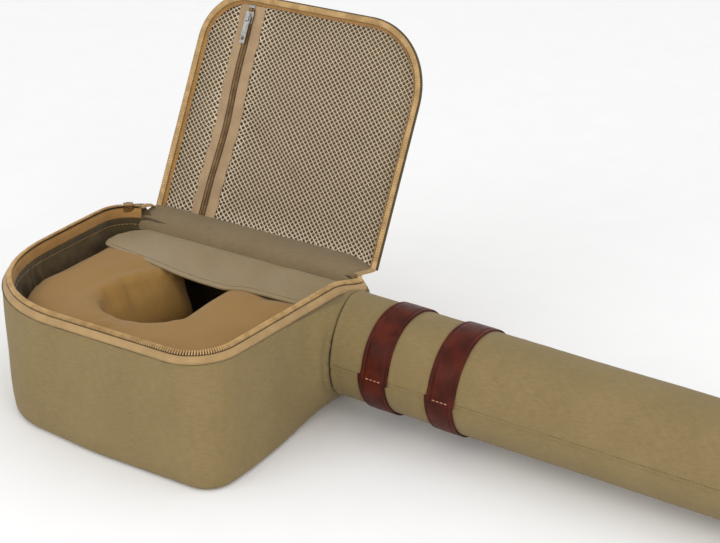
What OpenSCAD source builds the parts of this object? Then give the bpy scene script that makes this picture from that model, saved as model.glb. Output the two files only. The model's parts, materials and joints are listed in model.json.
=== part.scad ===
// Rod and reel case: a zipped canvas reel box on a rigid canvas-covered rod tube.
// Origin: centre of the reel box's base, on the surface it stands on.
// +X runs along the tube away from the box, +Y towards the lid hinge, +Z up.

/* [Reel box] */
// Outside length of the reel box along the tube
box_w = 248; // [236:1:264]
// Outside depth of the reel box, from its front wall to the lid hinge
box_d = 206; // [200:1:216]
// Height of the canvas wall, below the zip tape
wall_h = 94; // [92:1:100]
// Size of the base compared with the top edge of the wall
base_scale = 0.96; // [0.94:0.005:1]
// Corner radius at the front, on the side away from the tube
corner_front_left = 104; // [70:1:104]
// Corner radius at the front, on the tube side
corner_front_right = 36; // [25:1:50]
// Corner radius at the back, on the side away from the tube
corner_back_left = 34; // [30:1:40]
// Corner radius at the back, on the tube side
corner_back_right = 12; // [10:1:18]

/* [Wall build-up] */
// Thickness of the canvas
canvas_t = 1.4; // [1:0.1:1.8]
// Thickness of the foam in the wall
foam_t = 4; // [3:0.5:5]
// Thickness of the lining cloth
lining_t = 0.8; // [0.6:0.1:1]
// Thickness of the stiff board in the base
board_t = 2.5; // [2:0.5:3]

/* [Zip] */
// Height of the tape that shows between the canvas and the coil
tape_h = 4.5; // [4:0.5:6]
// Thickness of the zip tape
tape_t = 1.2; // [0.8:0.1:1.4]
// Width and height of one side of the coil
coil_w = 4.5; // [4:0.5:5]

/* [Lid] */
// Angle by which the lid stands open from closed
lid_open = 116; // [90:1:120]
// Corner radius of the lid at the front left
lid_corner_left = 60; // [45:1:66]
// Corner radius of the lid at the front right
lid_corner_right = 52; // [40:1:60]
// Depth of the lid's zip tape, from its coil to its cover
lid_tape_h = 7.5; // [7.5:0.5:9]
// Width of one side of the pocket zip's tape
pocket_tape_w = 9.5; // [8:0.5:11]
// Distance of the pocket zip from the middle of the box
pocket_zip_x = -58; // [-64:1:-50]

/* [Rod tube] */
// Outside diameter of the canvas-covered tube
tube_d = 80; // [76:1:82]
// Length of the tube, from the box wall to the end cover
tube_len = 588; // [520:1:640]
// Downward slope of the tube, in degrees
tube_slope = 1.3; // [1:0.05:1.4]
// Wall of the rigid tube inside the canvas
core_t = 2; // [1.6:0.1:2.4]

/* [Leather] */
// Width of each leather band
band_w = 24; // [20:1:28]
// Thickness of the leather
leather_t = 1.6; // [1.5:0.1:2.4]
// Distance of the first band from the box wall
band_a_at = 42; // [28:1:46]
// Distance of the second band from the box wall
band_b_at = 100; // [86:1:104]
// Distance between the rings of the carry handle
handle_span = 150; // [140:1:160]

/* [Insert] */
// Height of the padded insert's top face
insert_top = 86; // [82:1:87]
// Width of the reel pocket in the insert
reel_pocket_w = 68; // [60:1:72]
// Back edge of the insert, where the rod channel starts
insert_back = 34; // [30:1:38]
// Back end of the insert's left arm, which runs on under the flap
arm_back = 62; // [50:1:66]

/* [Hidden] */
$fn = 96;

CANVAS = [0.55, 0.49, 0.35];
LINING = [0.40, 0.35, 0.24];
TAPE = [0.75, 0.63, 0.45];
FACING = [0.65, 0.50, 0.29];
INSERT = [0.65, 0.52, 0.33];
MESH = [0.78, 0.71, 0.61];
LEATHER = [0.35, 0.13, 0.09];
METAL = [0.72, 0.70, 0.66];
FOAM = [0.30, 0.30, 0.30];
PLASTIC = [0.16, 0.16, 0.17];

// Box outline limits and the layers of its wall, as distances in from the outer face
left = -box_w / 2;
right = box_w / 2;
front = -box_d / 2;
back = box_d / 2;
foam_in = canvas_t;
lining_in = canvas_t + foam_t;
room_in = canvas_t + foam_t + lining_t;

// Heights in the box
binding_t = 1.2;
coil_z = wall_h + binding_t + tape_h;
rim_z = coil_z + coil_w;
base_pad_t = 4;
floor_z = canvas_t + board_t + base_pad_t;
zip_end_y = back - 6;
facing_h = 14;
facing_t = 0.8;

// Hinge line of the lid, on the top edge of the back wall
hinge_y = back + 0.4;
hinge_z = wall_h + 2;
clear = 0.3;

// Insert, with its reel pocket, and the cloth flap behind it
insert_left = left + room_in + 13;
insert_right = right - room_in - 1.2;
insert_front = front + room_in + 2.4;
insert_skin = 1.2;
pocket_r = reel_pocket_w / 2;
pocket_x = -2;
pocket_front = -54;
arm_right = -24;
flap_z = insert_top + 1.2;
flap_t = 1.6;
flap_back = back - room_in - 2.4;
flap_front = insert_back - 6;

// Lid, measured closed: x and y in the box's frame, z up from the hinge line
lid_left = left + 18;
lid_right = right - 1;
lid_front = front + 8;
lid_coil_z = rim_z + clear - hinge_z;
lid_tape_z = lid_coil_z + coil_w;
lid_top_z = lid_tape_z + lid_tape_h;
lid_foam_t = 3;
mesh_t = 1;
mesh_z = lid_tape_z + 0.2;
lid_tape_in = 0.8;
mesh_in = lid_tape_in + tape_t;
mesh_back_y = back - 4;

// Pocket zip
pocket_front_y = lid_front + 14;
pocket_gap = 0.5;
pocket_coil_w = 2;
pocket_coil_h = 2;
slider_y = pocket_front_y + 8;
pocket_gap_h = pocket_coil_h + tape_t + 0.6;
pocket_plate = 0.8;
pocket_bail_h = 2.2;
pocket_mid_z = mesh_z + (tape_t - pocket_coil_h) / 2;
pocket_pull_z = -pocket_gap_h / 2 - pocket_plate - pocket_bail_h / 2;
post_t = 0.3;

// Main slider, parked on the back left corner of the zip. It is drawn on the straight left side,
// then turned back round the corner's centre by park_angle.
park_angle = 45;
park_x = left + corner_back_left;
park_y = back - corner_back_left;
main_gap = coil_w + 0.9;
main_plate = 1;
main_l = 8;
main_x = left + 0.6 + coil_w / 2;
main_z0 = coil_z + 0.3;
main_bail = 2.6;
main_pin_x = main_x - main_gap / 2 - main_plate - main_bail / 2;
main_pin_z = coil_z + 3.2;
pin_hole_r = 0.85;

// Tube: radii of its layers, and the height of its axis at the box wall
tube_r = tube_d / 2;
core_r = tube_r - canvas_t;
bore_r = core_r - core_t - lining_t;
piping_r = tube_r + 1;
end_cover_t = 1.6;
neck_y = back - tube_r + 1;
neck_z = tube_len * sin(tube_slope) + piping_r * cos(tube_slope);
core_start = -8;
end_pad_t = 12;
end_board_t = 3;

// Bands: the upper strap covers the top, the lower one the bottom, and they meet on the seam
band_seam_angle = 184;
band_top_angle = 6;
band_gap_angle = 0.4;
band_shift = 3;

// Carry handle, on the back of the tube
handle_near = band_a_at + band_w / 2 - band_shift / 2;
handle_far = handle_near + handle_span;
tab_w = 20;
tab_t = 2.4;
tab_h = 32;
ring_wire = 1.75;
ring_r = 10;
ring_out = tube_r + leather_t + tab_t + ring_wire + 0.6;
loop_r = ring_wire + 0.3;
rivet_r = 3;
grip_r = 7.5;
grip_core_r = 4.5;
grip_z = -2 * ring_r - 15;
lug_w = 14;
lug_t = 5;

// ---- Plan outlines ----

// Points of an arc from angle a0 to a1 about (cx, cy)
function arc(cx, cy, r, a0, a1, steps = 12) =
    [for (i = [0:steps]) let (a = a0 + (a1 - a0) * i / steps) [cx + r * cos(a), cy + r * sin(a)]];

// Rounded outline between limits, with a radius for each corner, moved in by d
function outline(x0, x1, y0, y1, r_fl, r_fr, r_br, r_bl, d = 0) = concat(
    arc(x0 + r_fl, y0 + r_fl, r_fl - d, 180, 270, 20),
    arc(x1 - r_fr, y0 + r_fr, r_fr - d, 270, 360),
    arc(x1 - r_br, y1 - r_br, r_br - d, 0, 90, 6),
    arc(x0 + r_bl, y1 - r_bl, r_bl - d, 90, 180));

function box_outline(d = 0) = outline(left, right, front, back, corner_front_left,
    corner_front_right, corner_back_right, corner_back_left, d);

function lid_outline(d = 0) = outline(lid_left, lid_right, lid_front, back, lid_corner_left,
    lid_corner_right, 8, 8, d);

// Size of the box at height z, compared with the top of its wall
function box_scale(z) = base_scale + (1 - base_scale) * z / wall_h;

// Raises a flat outline from z0 to z1, following the slope of the box's walls
module sloped(z0, z1) {
    translate([0, back, z0])
        linear_extrude(z1 - z0, scale = box_scale(z1) / box_scale(z0))
            scale(box_scale(z0)) translate([0, -back]) children();
}

// Solid slice of the box, narrower towards the base
module box_slice(z0, z1, d) {
    sloped(z0, z1) polygon(box_outline(d));
}

// One layer of the box wall, from d0 to d1 in from the outer face
module wall_layer(z0, z1, d0, d1) {
    difference() {
        box_slice(z0, z1, d0);
        translate([0, 0, -0.01]) box_slice(z0, z1 + 0.02, d1);
    }
}

// Upright band that follows the rim, from d0 to d1 in from the outer face
module rim_band(z0, z1, d0, d1) {
    translate([0, 0, z0]) linear_extrude(z1 - z0) difference() {
        polygon(box_outline(d0));
        polygon(box_outline(d1));
    }
}

// Keeps only what lies in front of the ends of the main zip
module zip_run(z0, z1) {
    intersection() {
        children();
        translate([left - 5, front - 5, z0 - 1]) cube([box_w + 10, zip_end_y - front + 5, z1 - z0 + 2]);
    }
}

// ---- Tube frame ----

// Places children in the tube's frame: +X along its axis, from the outer face of the box wall
module on_tube() {
    translate([right, neck_y, neck_z]) rotate([0, tube_slope, 0]) children();
}

module tube_ring(x0, x1, r_out, r_in) {
    translate([x0, 0, 0]) rotate([0, 90, 0]) difference() {
        cylinder(r = r_out, h = x1 - x0);
        translate([0, 0, -1]) cylinder(r = r_in, h = x1 - x0 + 2);
    }
}

// Part of a tube ring between two angles, where 0 faces the back, 90 the top and 180 the front
module tube_sector(x0, x1, r_out, r_in, a0, a1) {
    translate([x0, 0, 0]) rotate([90, 0, 90]) rotate([0, 0, a0])
        rotate_extrude(angle = a1 - a0) translate([r_in, 0]) square([r_out - r_in, x1 - x0]);
}

// Round hole through the box wall for the tube
module neck_hole(r) {
    on_tube() translate([-20, 0, 0]) rotate([0, 90, 0]) cylinder(r = r, h = 40);
}

// ---- Lid frame ----

// Places children drawn for the closed lid, z from the hinge line, on the open lid
module on_open_lid() {
    translate([0, hinge_y, hinge_z]) rotate([-lid_open, 0, 0]) translate([0, -hinge_y, 0]) children();
}

module lid_panel(z0, z1, d) {
    translate([0, 0, z0]) linear_extrude(z1 - z0) polygon(lid_outline(d));
}

module lid_band(z0, z1, d0, d1) {
    translate([0, 0, z0]) linear_extrude(z1 - z0) difference() {
        polygon(lid_outline(d0));
        polygon(lid_outline(d1));
    }
}

// ---- Reel box ----

module wall_canvas() {
    color(CANVAS) difference() {
        wall_layer(canvas_t, wall_h, 0, canvas_t);
        neck_hole(core_r);
    }
}

module base_canvas() {
    color(CANVAS) box_slice(0, canvas_t, 0);
}

// Flat sheet on the floor of the box, inside its walls
module floor_sheet(z, t) {
    translate([0, back, z]) linear_extrude(t) scale(base_scale) translate([0, -back])
        polygon(box_outline(room_in + 0.2));
}

module base_board() {
    color(PLASTIC) floor_sheet(canvas_t, board_t);
}

module base_pad() {
    color(FOAM) floor_sheet(canvas_t + board_t, base_pad_t);
}

module wall_foam() {
    color(FOAM) difference() {
        wall_layer(canvas_t, wall_h, foam_in, lining_in);
        neck_hole(core_r);
    }
}

module wall_lining() {
    color(LINING) difference() {
        wall_layer(canvas_t, wall_h, lining_in, room_in);
        neck_hole(core_r);
    }
}

// Bright band stitched to the top of the lining
module rim_facing() {
    color(FACING) difference() {
        zip_run(wall_h - facing_h, wall_h)
            wall_layer(wall_h - facing_h, wall_h, room_in, room_in + facing_t);
        neck_hole(core_r + clear);
    }
}

// Folded strip that closes the top of the wall
module rim_binding() {
    color(LINING) zip_run(wall_h, wall_h + binding_t)
        rim_band(wall_h, wall_h + binding_t, 0.2, room_in);
}

module lower_zip_tape() {
    color(TAPE) zip_run(wall_h, coil_z)
        rim_band(wall_h + binding_t, coil_z, 1.2, 1.2 + tape_t);
}

module lower_zip_coil() {
    color(TAPE) zip_run(coil_z, rim_z) rim_band(coil_z, rim_z, 0.6, 0.6 + coil_w);
}

// Canvas strip on top of the back wall that the lid folds on
module back_hinge_strip() {
    color(CANVAS) translate([left + corner_back_left, back - canvas_t - 0.4, wall_h])
        cube([box_w - corner_back_left - corner_back_right, canvas_t, hinge_z - wall_h - 0.4]);
}

// ---- Rod tube ----

// Ring that binds the edge of the hole between the box and the tube
module neck_facing() {
    color(FACING) on_tube() tube_ring(core_start - 1.2, core_start, core_r, bore_r);
}

// Half of the canvas cover, cut where it meets the box
module tube_cover(a0) {
    color(CANVAS) difference() {
        on_tube() tube_sector(2 * core_start, tube_len, tube_r, core_r, a0, a0 + 180);
        box_slice(0, wall_h + 3, 0);
    }
}

module tube_cover_upper() { tube_cover(0); }
module tube_cover_lower() { tube_cover(180); }

module tube_core() {
    color(PLASTIC) on_tube() tube_ring(core_start, tube_len, core_r, core_r - core_t);
}

module tube_lining() {
    color(LINING) on_tube() tube_ring(core_start, tube_len - end_board_t - end_pad_t,
        core_r - core_t, bore_r);
}

module tube_end_pad() {
    color(FOAM) on_tube() translate([tube_len - end_board_t - end_pad_t, 0, 0])
        rotate([0, 90, 0]) cylinder(r = core_r - core_t, h = end_pad_t);
}

module tube_end_board() {
    color(PLASTIC) on_tube() translate([tube_len - end_board_t, 0, 0])
        rotate([0, 90, 0]) cylinder(r = core_r - core_t, h = end_board_t);
}

module tube_end_cover() {
    color(CANVAS) on_tube() translate([tube_len, 0, 0])
        rotate([0, 90, 0]) cylinder(r = tube_r - 1.6, h = end_cover_t);
}

module tube_end_piping() {
    color(LEATHER) on_tube() translate([tube_len, 0, 0]) rotate([0, 90, 0])
        rotate_extrude() translate([tube_r - 1.6, 0]) square([piping_r - tube_r + 1.6, 3]);
}

// ---- Leather bands ----

module band_upper(at) {
    color(LEATHER) on_tube() tube_sector(at, at + band_w, tube_r + leather_t, tube_r,
        band_top_angle, band_seam_angle - band_gap_angle);
}

module band_lower(at) {
    color(LEATHER) on_tube() tube_sector(at - band_shift, at - band_shift + band_w,
        tube_r + leather_t, tube_r, band_seam_angle, 360 + band_top_angle - band_gap_angle);
}

module band_a_upper() { band_upper(band_a_at); }
module band_a_lower() { band_lower(band_a_at); }
module band_b_upper() { band_upper(band_b_at); }
module band_b_lower() { band_lower(band_b_at); }

// ---- Carry handle on the back of the tube ----

// Leather tab: a plate on the tube's back with a loop in its middle that holds the ring.
// The band under the near tab is leather_t thick, and the far tab is that much thicker.
module handle_tab(at, under) {
    color(LEATHER) on_tube() translate([at - tab_w / 2, 0, 0]) difference() {
        union() {
            translate([0, tube_r + under - 1.5, -tab_h / 2])
                cube([tab_w, leather_t - under + tab_t + 1.5, tab_h]);
            translate([2, ring_out, 0]) rotate([0, 90, 0]) cylinder(r = loop_r + 1.6, h = tab_w - 4);
        }
        translate([-1, ring_out, 0]) rotate([0, 90, 0]) cylinder(r = loop_r, h = tab_w + 2);
        rotate([0, 90, 0]) translate([0, 0, -1]) cylinder(r = tube_r + under, h = tab_w + 2);
    }
}

module handle_tab_near() { handle_tab(handle_near, leather_t); }
module handle_tab_far() { handle_tab(handle_far, 0); }

module handle_rivets() {
    color(METAL) on_tube() for (at = [handle_near, handle_far], z = [-12, 12])
        translate([at, tube_r + tab_t + leather_t, z]) rotate([-90, 0, 0])
            cylinder(r = rivet_r, h = 1.2);
}

// Rectangular ring: its upper bar turns in the tab's loop, its lower bar holds the grip
module handle_ring(at) {
    half = tab_w / 2 + 2;
    color(METAL) on_tube() translate([at, ring_out, 0]) {
        for (z = [0, -2 * ring_r]) translate([-half, 0, z]) rotate([0, 90, 0])
            cylinder(r = ring_wire, h = 2 * half);
        for (x = [-half, half]) translate([x, 0, -2 * ring_r]) {
            cylinder(r = ring_wire, h = 2 * ring_r);
            for (z = [0, 2 * ring_r]) translate([0, 0, z]) sphere(r = ring_wire);
        }
    }
}

module handle_ring_near() { handle_ring(handle_near); }
module handle_ring_far() { handle_ring(handle_far); }

// Round bar of the grip, shortened at each end by cut
module grip_bar(r, cut) {
    translate([handle_near + cut, ring_out, grip_z]) rotate([0, 90, 0])
        cylinder(r = r, h = handle_span - 2 * cut);
}

// Leather sleeve stitched round the middle of the core
module handle_grip() {
    color(LEATHER) on_tube() difference() {
        grip_bar(grip_r, 14);
        grip_bar(grip_core_r, 10);
    }
}

// Core of the grip, with a lug at each end that folds round the ring's lower bar
module handle_core() {
    color(LEATHER) on_tube() difference() {
        union() {
            grip_bar(grip_core_r, 0);
            for (at = [handle_near, handle_far]) translate([at - lug_w / 2, ring_out, 0]) {
                translate([0, -lug_t / 2, grip_z]) cube([lug_w, lug_t, -2 * ring_r - grip_z]);
                translate([0, 0, -2 * ring_r]) rotate([0, 90, 0]) cylinder(r = loop_r + 1.6, h = lug_w);
                translate([0, 0, grip_z]) rotate([0, 90, 0]) cylinder(r = grip_core_r, h = lug_w);
            }
        }
        for (at = [handle_near, handle_far]) translate([at - lug_w / 2 - 1, ring_out, -2 * ring_r])
            rotate([0, 90, 0]) cylinder(r = loop_r, h = lug_w + 2);
    }
}

// ---- Insert and flap ----

// Outline of the insert with its reel pocket open to the rod channel, moved in by d. Its left
// arm closes the channel's left end.
module insert_plan(d) {
    difference() {
        polygon(outline(insert_left, insert_right, insert_front, insert_back, 78, 30, 12, 20, d));
        translate([pocket_x, pocket_front + pocket_r]) circle(r = pocket_r + d);
        translate([pocket_x - pocket_r - d, pocket_front + pocket_r])
            square([2 * pocket_r + 2 * d, 200]);
    }
    offset(r = 10) offset(delta = -10 - d) polygon([
        [insert_left, -30], [pocket_x - pocket_r, -30], [pocket_x - pocket_r, 0],
        [arm_right, 42], [arm_right, arm_back], [insert_left, arm_back]]);
}

module insert_foam() {
    color(FOAM) sloped(floor_z + insert_skin, insert_top - insert_skin) insert_plan(insert_skin);
}

module insert_cover() {
    color(INSERT) difference() {
        sloped(floor_z, insert_top) insert_plan(0);
        sloped(floor_z + insert_skin, insert_top - insert_skin) insert_plan(insert_skin);
    }
}

// Cloth flap over the rod channel, sewn to the lining along the back
module liner_flap() {
    color(CANVAS) translate([0, 0, flap_z]) linear_extrude(flap_t)
        polygon(outline(left + 18, right - room_in - 3, flap_front, flap_back, 18, 6, 3, 26));
}

// ---- Lid ----

module lid_canvas() {
    color(CANVAS) on_open_lid() lid_panel(lid_top_z, lid_top_z + canvas_t, 0);
}

module lid_foam() {
    color(FOAM) on_open_lid() lid_panel(lid_top_z - lid_foam_t, lid_top_z, mesh_in);
}

module lid_lining() {
    color(LINING) on_open_lid()
        lid_panel(lid_top_z - lid_foam_t - lining_t, lid_top_z - lid_foam_t, mesh_in);
}

// Back edge of the lid, from the hinge line up to the cover
module lid_back_strip() {
    color(CANVAS) on_open_lid() translate([lid_left + 8, back - canvas_t, clear])
        cube([lid_right - lid_left - 16, canvas_t, lid_top_z - clear]);
}

// Zip tape round the three free sides of the lid
module upper_zip_tape() {
    color(FACING) on_open_lid() difference() {
        lid_band(lid_tape_z, lid_top_z, lid_tape_in, mesh_in);
        translate([lid_left + 8, back - 8, 0]) cube([lid_right - lid_left - 16, 20, 50]);
    }
}

module upper_zip_coil() {
    color(TAPE) on_open_lid() difference() {
        lid_band(lid_coil_z, lid_tape_z, 0.4, 0.4 + coil_w);
        translate([lid_left - 1, back - 12, 0]) cube([lid_right - lid_left + 2, 20, 50]);
    }
}

// Net sheets of the lid pocket, either side of its zip
module net_sheet(x0, x1) {
    color(MESH) on_open_lid() intersection() {
        lid_panel(mesh_z, mesh_z + mesh_t, mesh_in);
        translate([x0, lid_front, mesh_z - 1]) cube([x1 - x0, mesh_back_y - lid_front, mesh_t + 2]);
    }
}

module mesh_left() { net_sheet(lid_left, pocket_zip_x - pocket_gap - pocket_tape_w); }
module mesh_right() { net_sheet(pocket_zip_x + pocket_gap + pocket_tape_w, lid_right); }

// One side of the pocket zip's tape; side is -1 on the left and 1 on the right
module pocket_tape(side) {
    x0 = side < 0 ? pocket_zip_x - pocket_gap - pocket_tape_w : pocket_zip_x + pocket_gap;
    color(TAPE) on_open_lid() intersection() {
        lid_panel(mesh_z, mesh_z + tape_t, mesh_in);
        translate([x0, lid_front, mesh_z - 1])
            cube([pocket_tape_w, mesh_back_y - lid_front, tape_t + 2]);
    }
}

module pocket_tape_left() { pocket_tape(-1); }
module pocket_tape_right() { pocket_tape(1); }

// One row of the pocket zip's coil
module pocket_coil(side) {
    x0 = side < 0 ? pocket_zip_x - 0.2 - pocket_coil_w : pocket_zip_x + 0.2;
    color(FACING) on_open_lid() translate([x0, pocket_front_y, mesh_z - pocket_coil_h])
        cube([pocket_coil_w, mesh_back_y - pocket_front_y - 2, pocket_coil_h]);
}

module pocket_coil_left() { pocket_coil(-1); }
module pocket_coil_right() { pocket_coil(1); }

module pocket_top_stop() {
    color(METAL) on_open_lid() translate([pocket_zip_x - 3, pocket_front_y - 2.5, mesh_z - pocket_coil_h])
        cube([6, 2.2, pocket_coil_h]);
}

// Pull: a tab with a pin through the slider's bail. Drawn hanging along -y from its pin.
module pull_tab(length, width, thick, pin_l) {
    rotate([0, 90, 0]) cylinder(r = 0.75, h = pin_l, center = true);
    for (x = [-pin_l / 2, pin_l / 2 - 1]) translate([x, -5, -thick / 2]) cube([1, 5.6, thick]);
    difference() {
        translate([-width / 2, -length, -thick / 2]) cube([width, length - 4, thick]);
        translate([0, -length + 4, -thick]) cylinder(r = 1.4, h = 2 * thick);
    }
}

// Slider of the pocket zip: two plates with a thin post that parts the two coils
module pocket_slider() {
    color(METAL) on_open_lid() translate([pocket_zip_x, slider_y, pocket_mid_z])
        difference() {
            union() {
                for (z = [pocket_gap_h / 2, -pocket_gap_h / 2 - pocket_plate])
                    translate([-4, -5, z]) cube([8, 10, pocket_plate]);
                translate([-post_t / 2, -5, -pocket_gap_h / 2 - pocket_plate])
                    cube([post_t, 10, pocket_gap_h + 2 * pocket_plate]);
                translate([-1.5, -3, -pocket_gap_h / 2 - pocket_plate - pocket_bail_h])
                    cube([3, 6, pocket_bail_h]);
            }
            translate([-5, 0, pocket_pull_z]) rotate([0, 90, 0]) cylinder(r = pin_hole_r, h = 10);
        }
}

module pocket_pull() {
    color(METAL) on_open_lid() translate([pocket_zip_x, slider_y, pocket_mid_z + pocket_pull_z])
        rotate([0, 0, 180]) pull_tab(22, 5, 1, 5.6);
}

module at_park() {
    translate([park_x, park_y, 0]) rotate([0, 0, -park_angle]) translate([-park_x, -park_y, 0])
        children();
}

// Slider that straddles the lower coil: a plate each side, a bridge on top and a bail outside
module main_slider() {
    color(METAL) at_park() translate([0, park_y, 0]) difference() {
        union() {
            for (x = [main_x - main_gap / 2 - main_plate, main_x + main_gap / 2])
                translate([x, -main_l / 2, main_z0]) cube([main_plate, main_l, rim_z - main_z0 + 0.5]);
            translate([main_x - main_gap / 2 - main_plate, -main_l / 2, rim_z + 0.4])
                cube([main_gap + 2 * main_plate, main_l, 1]);
            translate([main_x - main_gap / 2 - main_plate - main_bail, -1.5, main_z0])
                cube([main_bail + 0.1, 3, 5]);
        }
        translate([main_pin_x, -5, main_pin_z]) rotate([-90, 0, 0]) cylinder(r = pin_hole_r, h = 10);
    }
}

module main_pull() {
    color(METAL) at_park() translate([main_pin_x, park_y, main_pin_z])
        rotate([0, 0, 90]) rotate([90, 0, 0]) pull_tab(26, 6, 1.2, 5.6);
}

wall_canvas();
base_canvas();
base_board();
base_pad();
wall_foam();
wall_lining();
rim_facing();
rim_binding();
lower_zip_tape();
lower_zip_coil();
back_hinge_strip();
neck_facing();
tube_cover_upper();
tube_cover_lower();
tube_core();
tube_lining();
tube_end_pad();
tube_end_board();
tube_end_cover();
tube_end_piping();
band_a_upper();
band_a_lower();
band_b_upper();
band_b_lower();
handle_tab_near();
handle_tab_far();
handle_rivets();
insert_foam();
insert_cover();
liner_flap();
lid_canvas();
lid_foam();
lid_lining();
lid_back_strip();
upper_zip_tape();
upper_zip_coil();
mesh_left();
mesh_right();
pocket_tape_left();
pocket_tape_right();
pocket_coil_left();
pocket_coil_right();
pocket_top_stop();
pocket_slider();
pocket_pull();
main_slider();
main_pull();
handle_ring_near();
handle_ring_far();
handle_grip();
handle_core();
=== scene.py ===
"""Looks of the rod and reel case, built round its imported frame. Lengths in this file are in
millimetres until a mesh is made, and Blender's own values are in metres."""
import json
import math

import bmesh
import bpy
import numpy as np
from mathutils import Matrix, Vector, noise


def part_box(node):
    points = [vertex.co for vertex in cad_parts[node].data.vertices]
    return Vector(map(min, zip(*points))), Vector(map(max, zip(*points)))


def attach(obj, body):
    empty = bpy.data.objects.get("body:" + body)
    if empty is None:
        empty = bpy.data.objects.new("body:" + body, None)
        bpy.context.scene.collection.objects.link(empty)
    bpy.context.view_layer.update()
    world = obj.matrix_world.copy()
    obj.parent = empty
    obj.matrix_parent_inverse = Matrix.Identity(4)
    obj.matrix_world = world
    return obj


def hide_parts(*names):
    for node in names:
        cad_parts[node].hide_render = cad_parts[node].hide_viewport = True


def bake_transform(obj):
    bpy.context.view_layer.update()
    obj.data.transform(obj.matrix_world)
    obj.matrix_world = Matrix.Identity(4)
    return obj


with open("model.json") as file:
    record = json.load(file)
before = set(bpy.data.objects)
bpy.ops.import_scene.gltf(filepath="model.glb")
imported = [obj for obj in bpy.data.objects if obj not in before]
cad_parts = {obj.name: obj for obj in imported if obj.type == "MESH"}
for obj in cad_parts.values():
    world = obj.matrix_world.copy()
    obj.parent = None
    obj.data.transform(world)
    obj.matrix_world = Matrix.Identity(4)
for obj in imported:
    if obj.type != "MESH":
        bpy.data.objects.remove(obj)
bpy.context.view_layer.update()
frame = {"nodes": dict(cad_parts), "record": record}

MM = 0.001
NODES = frame["nodes"]
JOINTS = {joint["name"]: joint for joint in frame["record"]["behaviour"]["joints"]}


# ---- Places, worked out from the frame ----

def low(node):
    return np.array(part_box(node)[0]) / MM


def high(node):
    return np.array(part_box(node)[1]) / MM


LEFT, FRONT = low("wall_canvas")[:2]
RIGHT, BACK, WALL_TOP = high("wall_canvas")
CORNERS = (104, 36, 12, 34)      # rim's radii: front left, front right, back right, back left
BASE_CORNERS = (80, 13, 12, 30)
BASE_SCALE = 0.96
COIL_LOW = low("lower_zip_coil")[2]
RIM_TOP = high("lower_zip_coil")[2]
INSERT_TOP = high("insert_cover")[2]

HINGE = np.array(JOINTS["lid_hinge"]["pos_m"]) / MM
OPEN_ANGLE = math.radians(JOINTS["lid_hinge"]["range_deg"][0])

TUBE_X = np.array(JOINTS["handle_swing"]["axis"])
TUBE_Y = np.array((0.0, 1.0, 0.0))
TUBE_Z = np.cross(TUBE_X, TUBE_Y)


def node_points(node):
    return np.array([tuple(vertex.co) for vertex in NODES[node].data.vertices]) / MM


def middle(values):
    return (values.min() + values.max()) / 2


core_points = node_points("tube_core")
NECK = middle(core_points @ TUBE_Y) * TUBE_Y + middle(core_points @ TUBE_Z) * TUBE_Z
NECK = NECK + TUBE_X * (RIGHT - NECK[0]) / TUBE_X[0]
CORE_R = np.ptp(core_points @ TUBE_Y) / 2
TUBE_R = CORE_R + 1.4
TUBE_LEN = ((core_points - NECK) @ TUBE_X).max()


def closed_points(node):
    """A lid node's points with the lid turned shut, z from the hinge line."""
    d = node_points(node) - HINGE
    c, s = math.cos(OPEN_ANGLE), math.sin(OPEN_ANGLE)
    return np.stack([d[:, 0], HINGE[1] + d[:, 1] * c + d[:, 2] * s, d[:, 2] * c - d[:, 1] * s], 1)


lid_points = closed_points("lid_canvas")
LID_LEFT, LID_FRONT, LID_TOP = lid_points.min(0) + (3, 3.5, 0)
LID_RIGHT, LID_BACK = lid_points.max(0)[0] - 4, lid_points.max(0)[1]
LID_CORNERS = (42, 60, 8, 8)
LID_COIL = closed_points("upper_zip_coil").min(0)[2]
NET_Z = closed_points("mesh_right").min(0)[2]
NET_BACK = closed_points("mesh_right").max(0)[1]
LINING_Z = closed_points("lid_lining").min(0)[2]
POCKET_X = middle(closed_points("pocket_slider")[:, 0])
POCKET_FRONT = closed_points("pocket_coil_left").min(0)[1]


def opened(points):
    """Points drawn on the closed lid, z from the hinge line, moved to the open lid."""
    points = np.asarray(points, float)
    dy, z = points[..., 1] - HINGE[1], points[..., 2]
    c, s = math.cos(OPEN_ANGLE), math.sin(OPEN_ANGLE)
    return np.stack([points[..., 0], HINGE[1] + dy * c - z * s, HINGE[2] + dy * s + z * c], -1)


def on_tube(x, y, z):
    x, y, z = np.broadcast_arrays(x, y, z)
    return NECK + x[..., None] * TUBE_X + y[..., None] * TUBE_Y + z[..., None] * TUBE_Z


def round_tube(x, radius, degrees):
    """Point of the tube's frame: 0 degrees faces the back, 90 the top and 180 the front."""
    angle = np.radians(degrees)
    return on_tube(x, radius * np.cos(angle), radius * np.sin(angle))


# ---- Shapes ----

def ease(value, start, end):
    t = np.clip((np.asarray(value, float) - start) / (end - start), 0, 1)
    return t * t * (3 - 2 * t)


def wander(points, size, seed=0.0):
    """Smooth noise from -1 to 1 at each point, with lumps of about size millimetres."""
    points = np.asarray(points, float)
    flat = points.reshape(-1, points.shape[-1]) / size
    values = [noise.noise(Vector((p[0] + seed, p[1] - seed, p[2]))) for p in flat]
    return np.array(values).reshape(points.shape[:-1])


def corner_centres(x0, x1, y0, y1, radii):
    fl, fr, br, bl = radii
    return ((x0 + fl, y0 + fl), (x1 - fr, y0 + fr), (x1 - br, y1 - br), (x0 + bl, y1 - bl))


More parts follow.
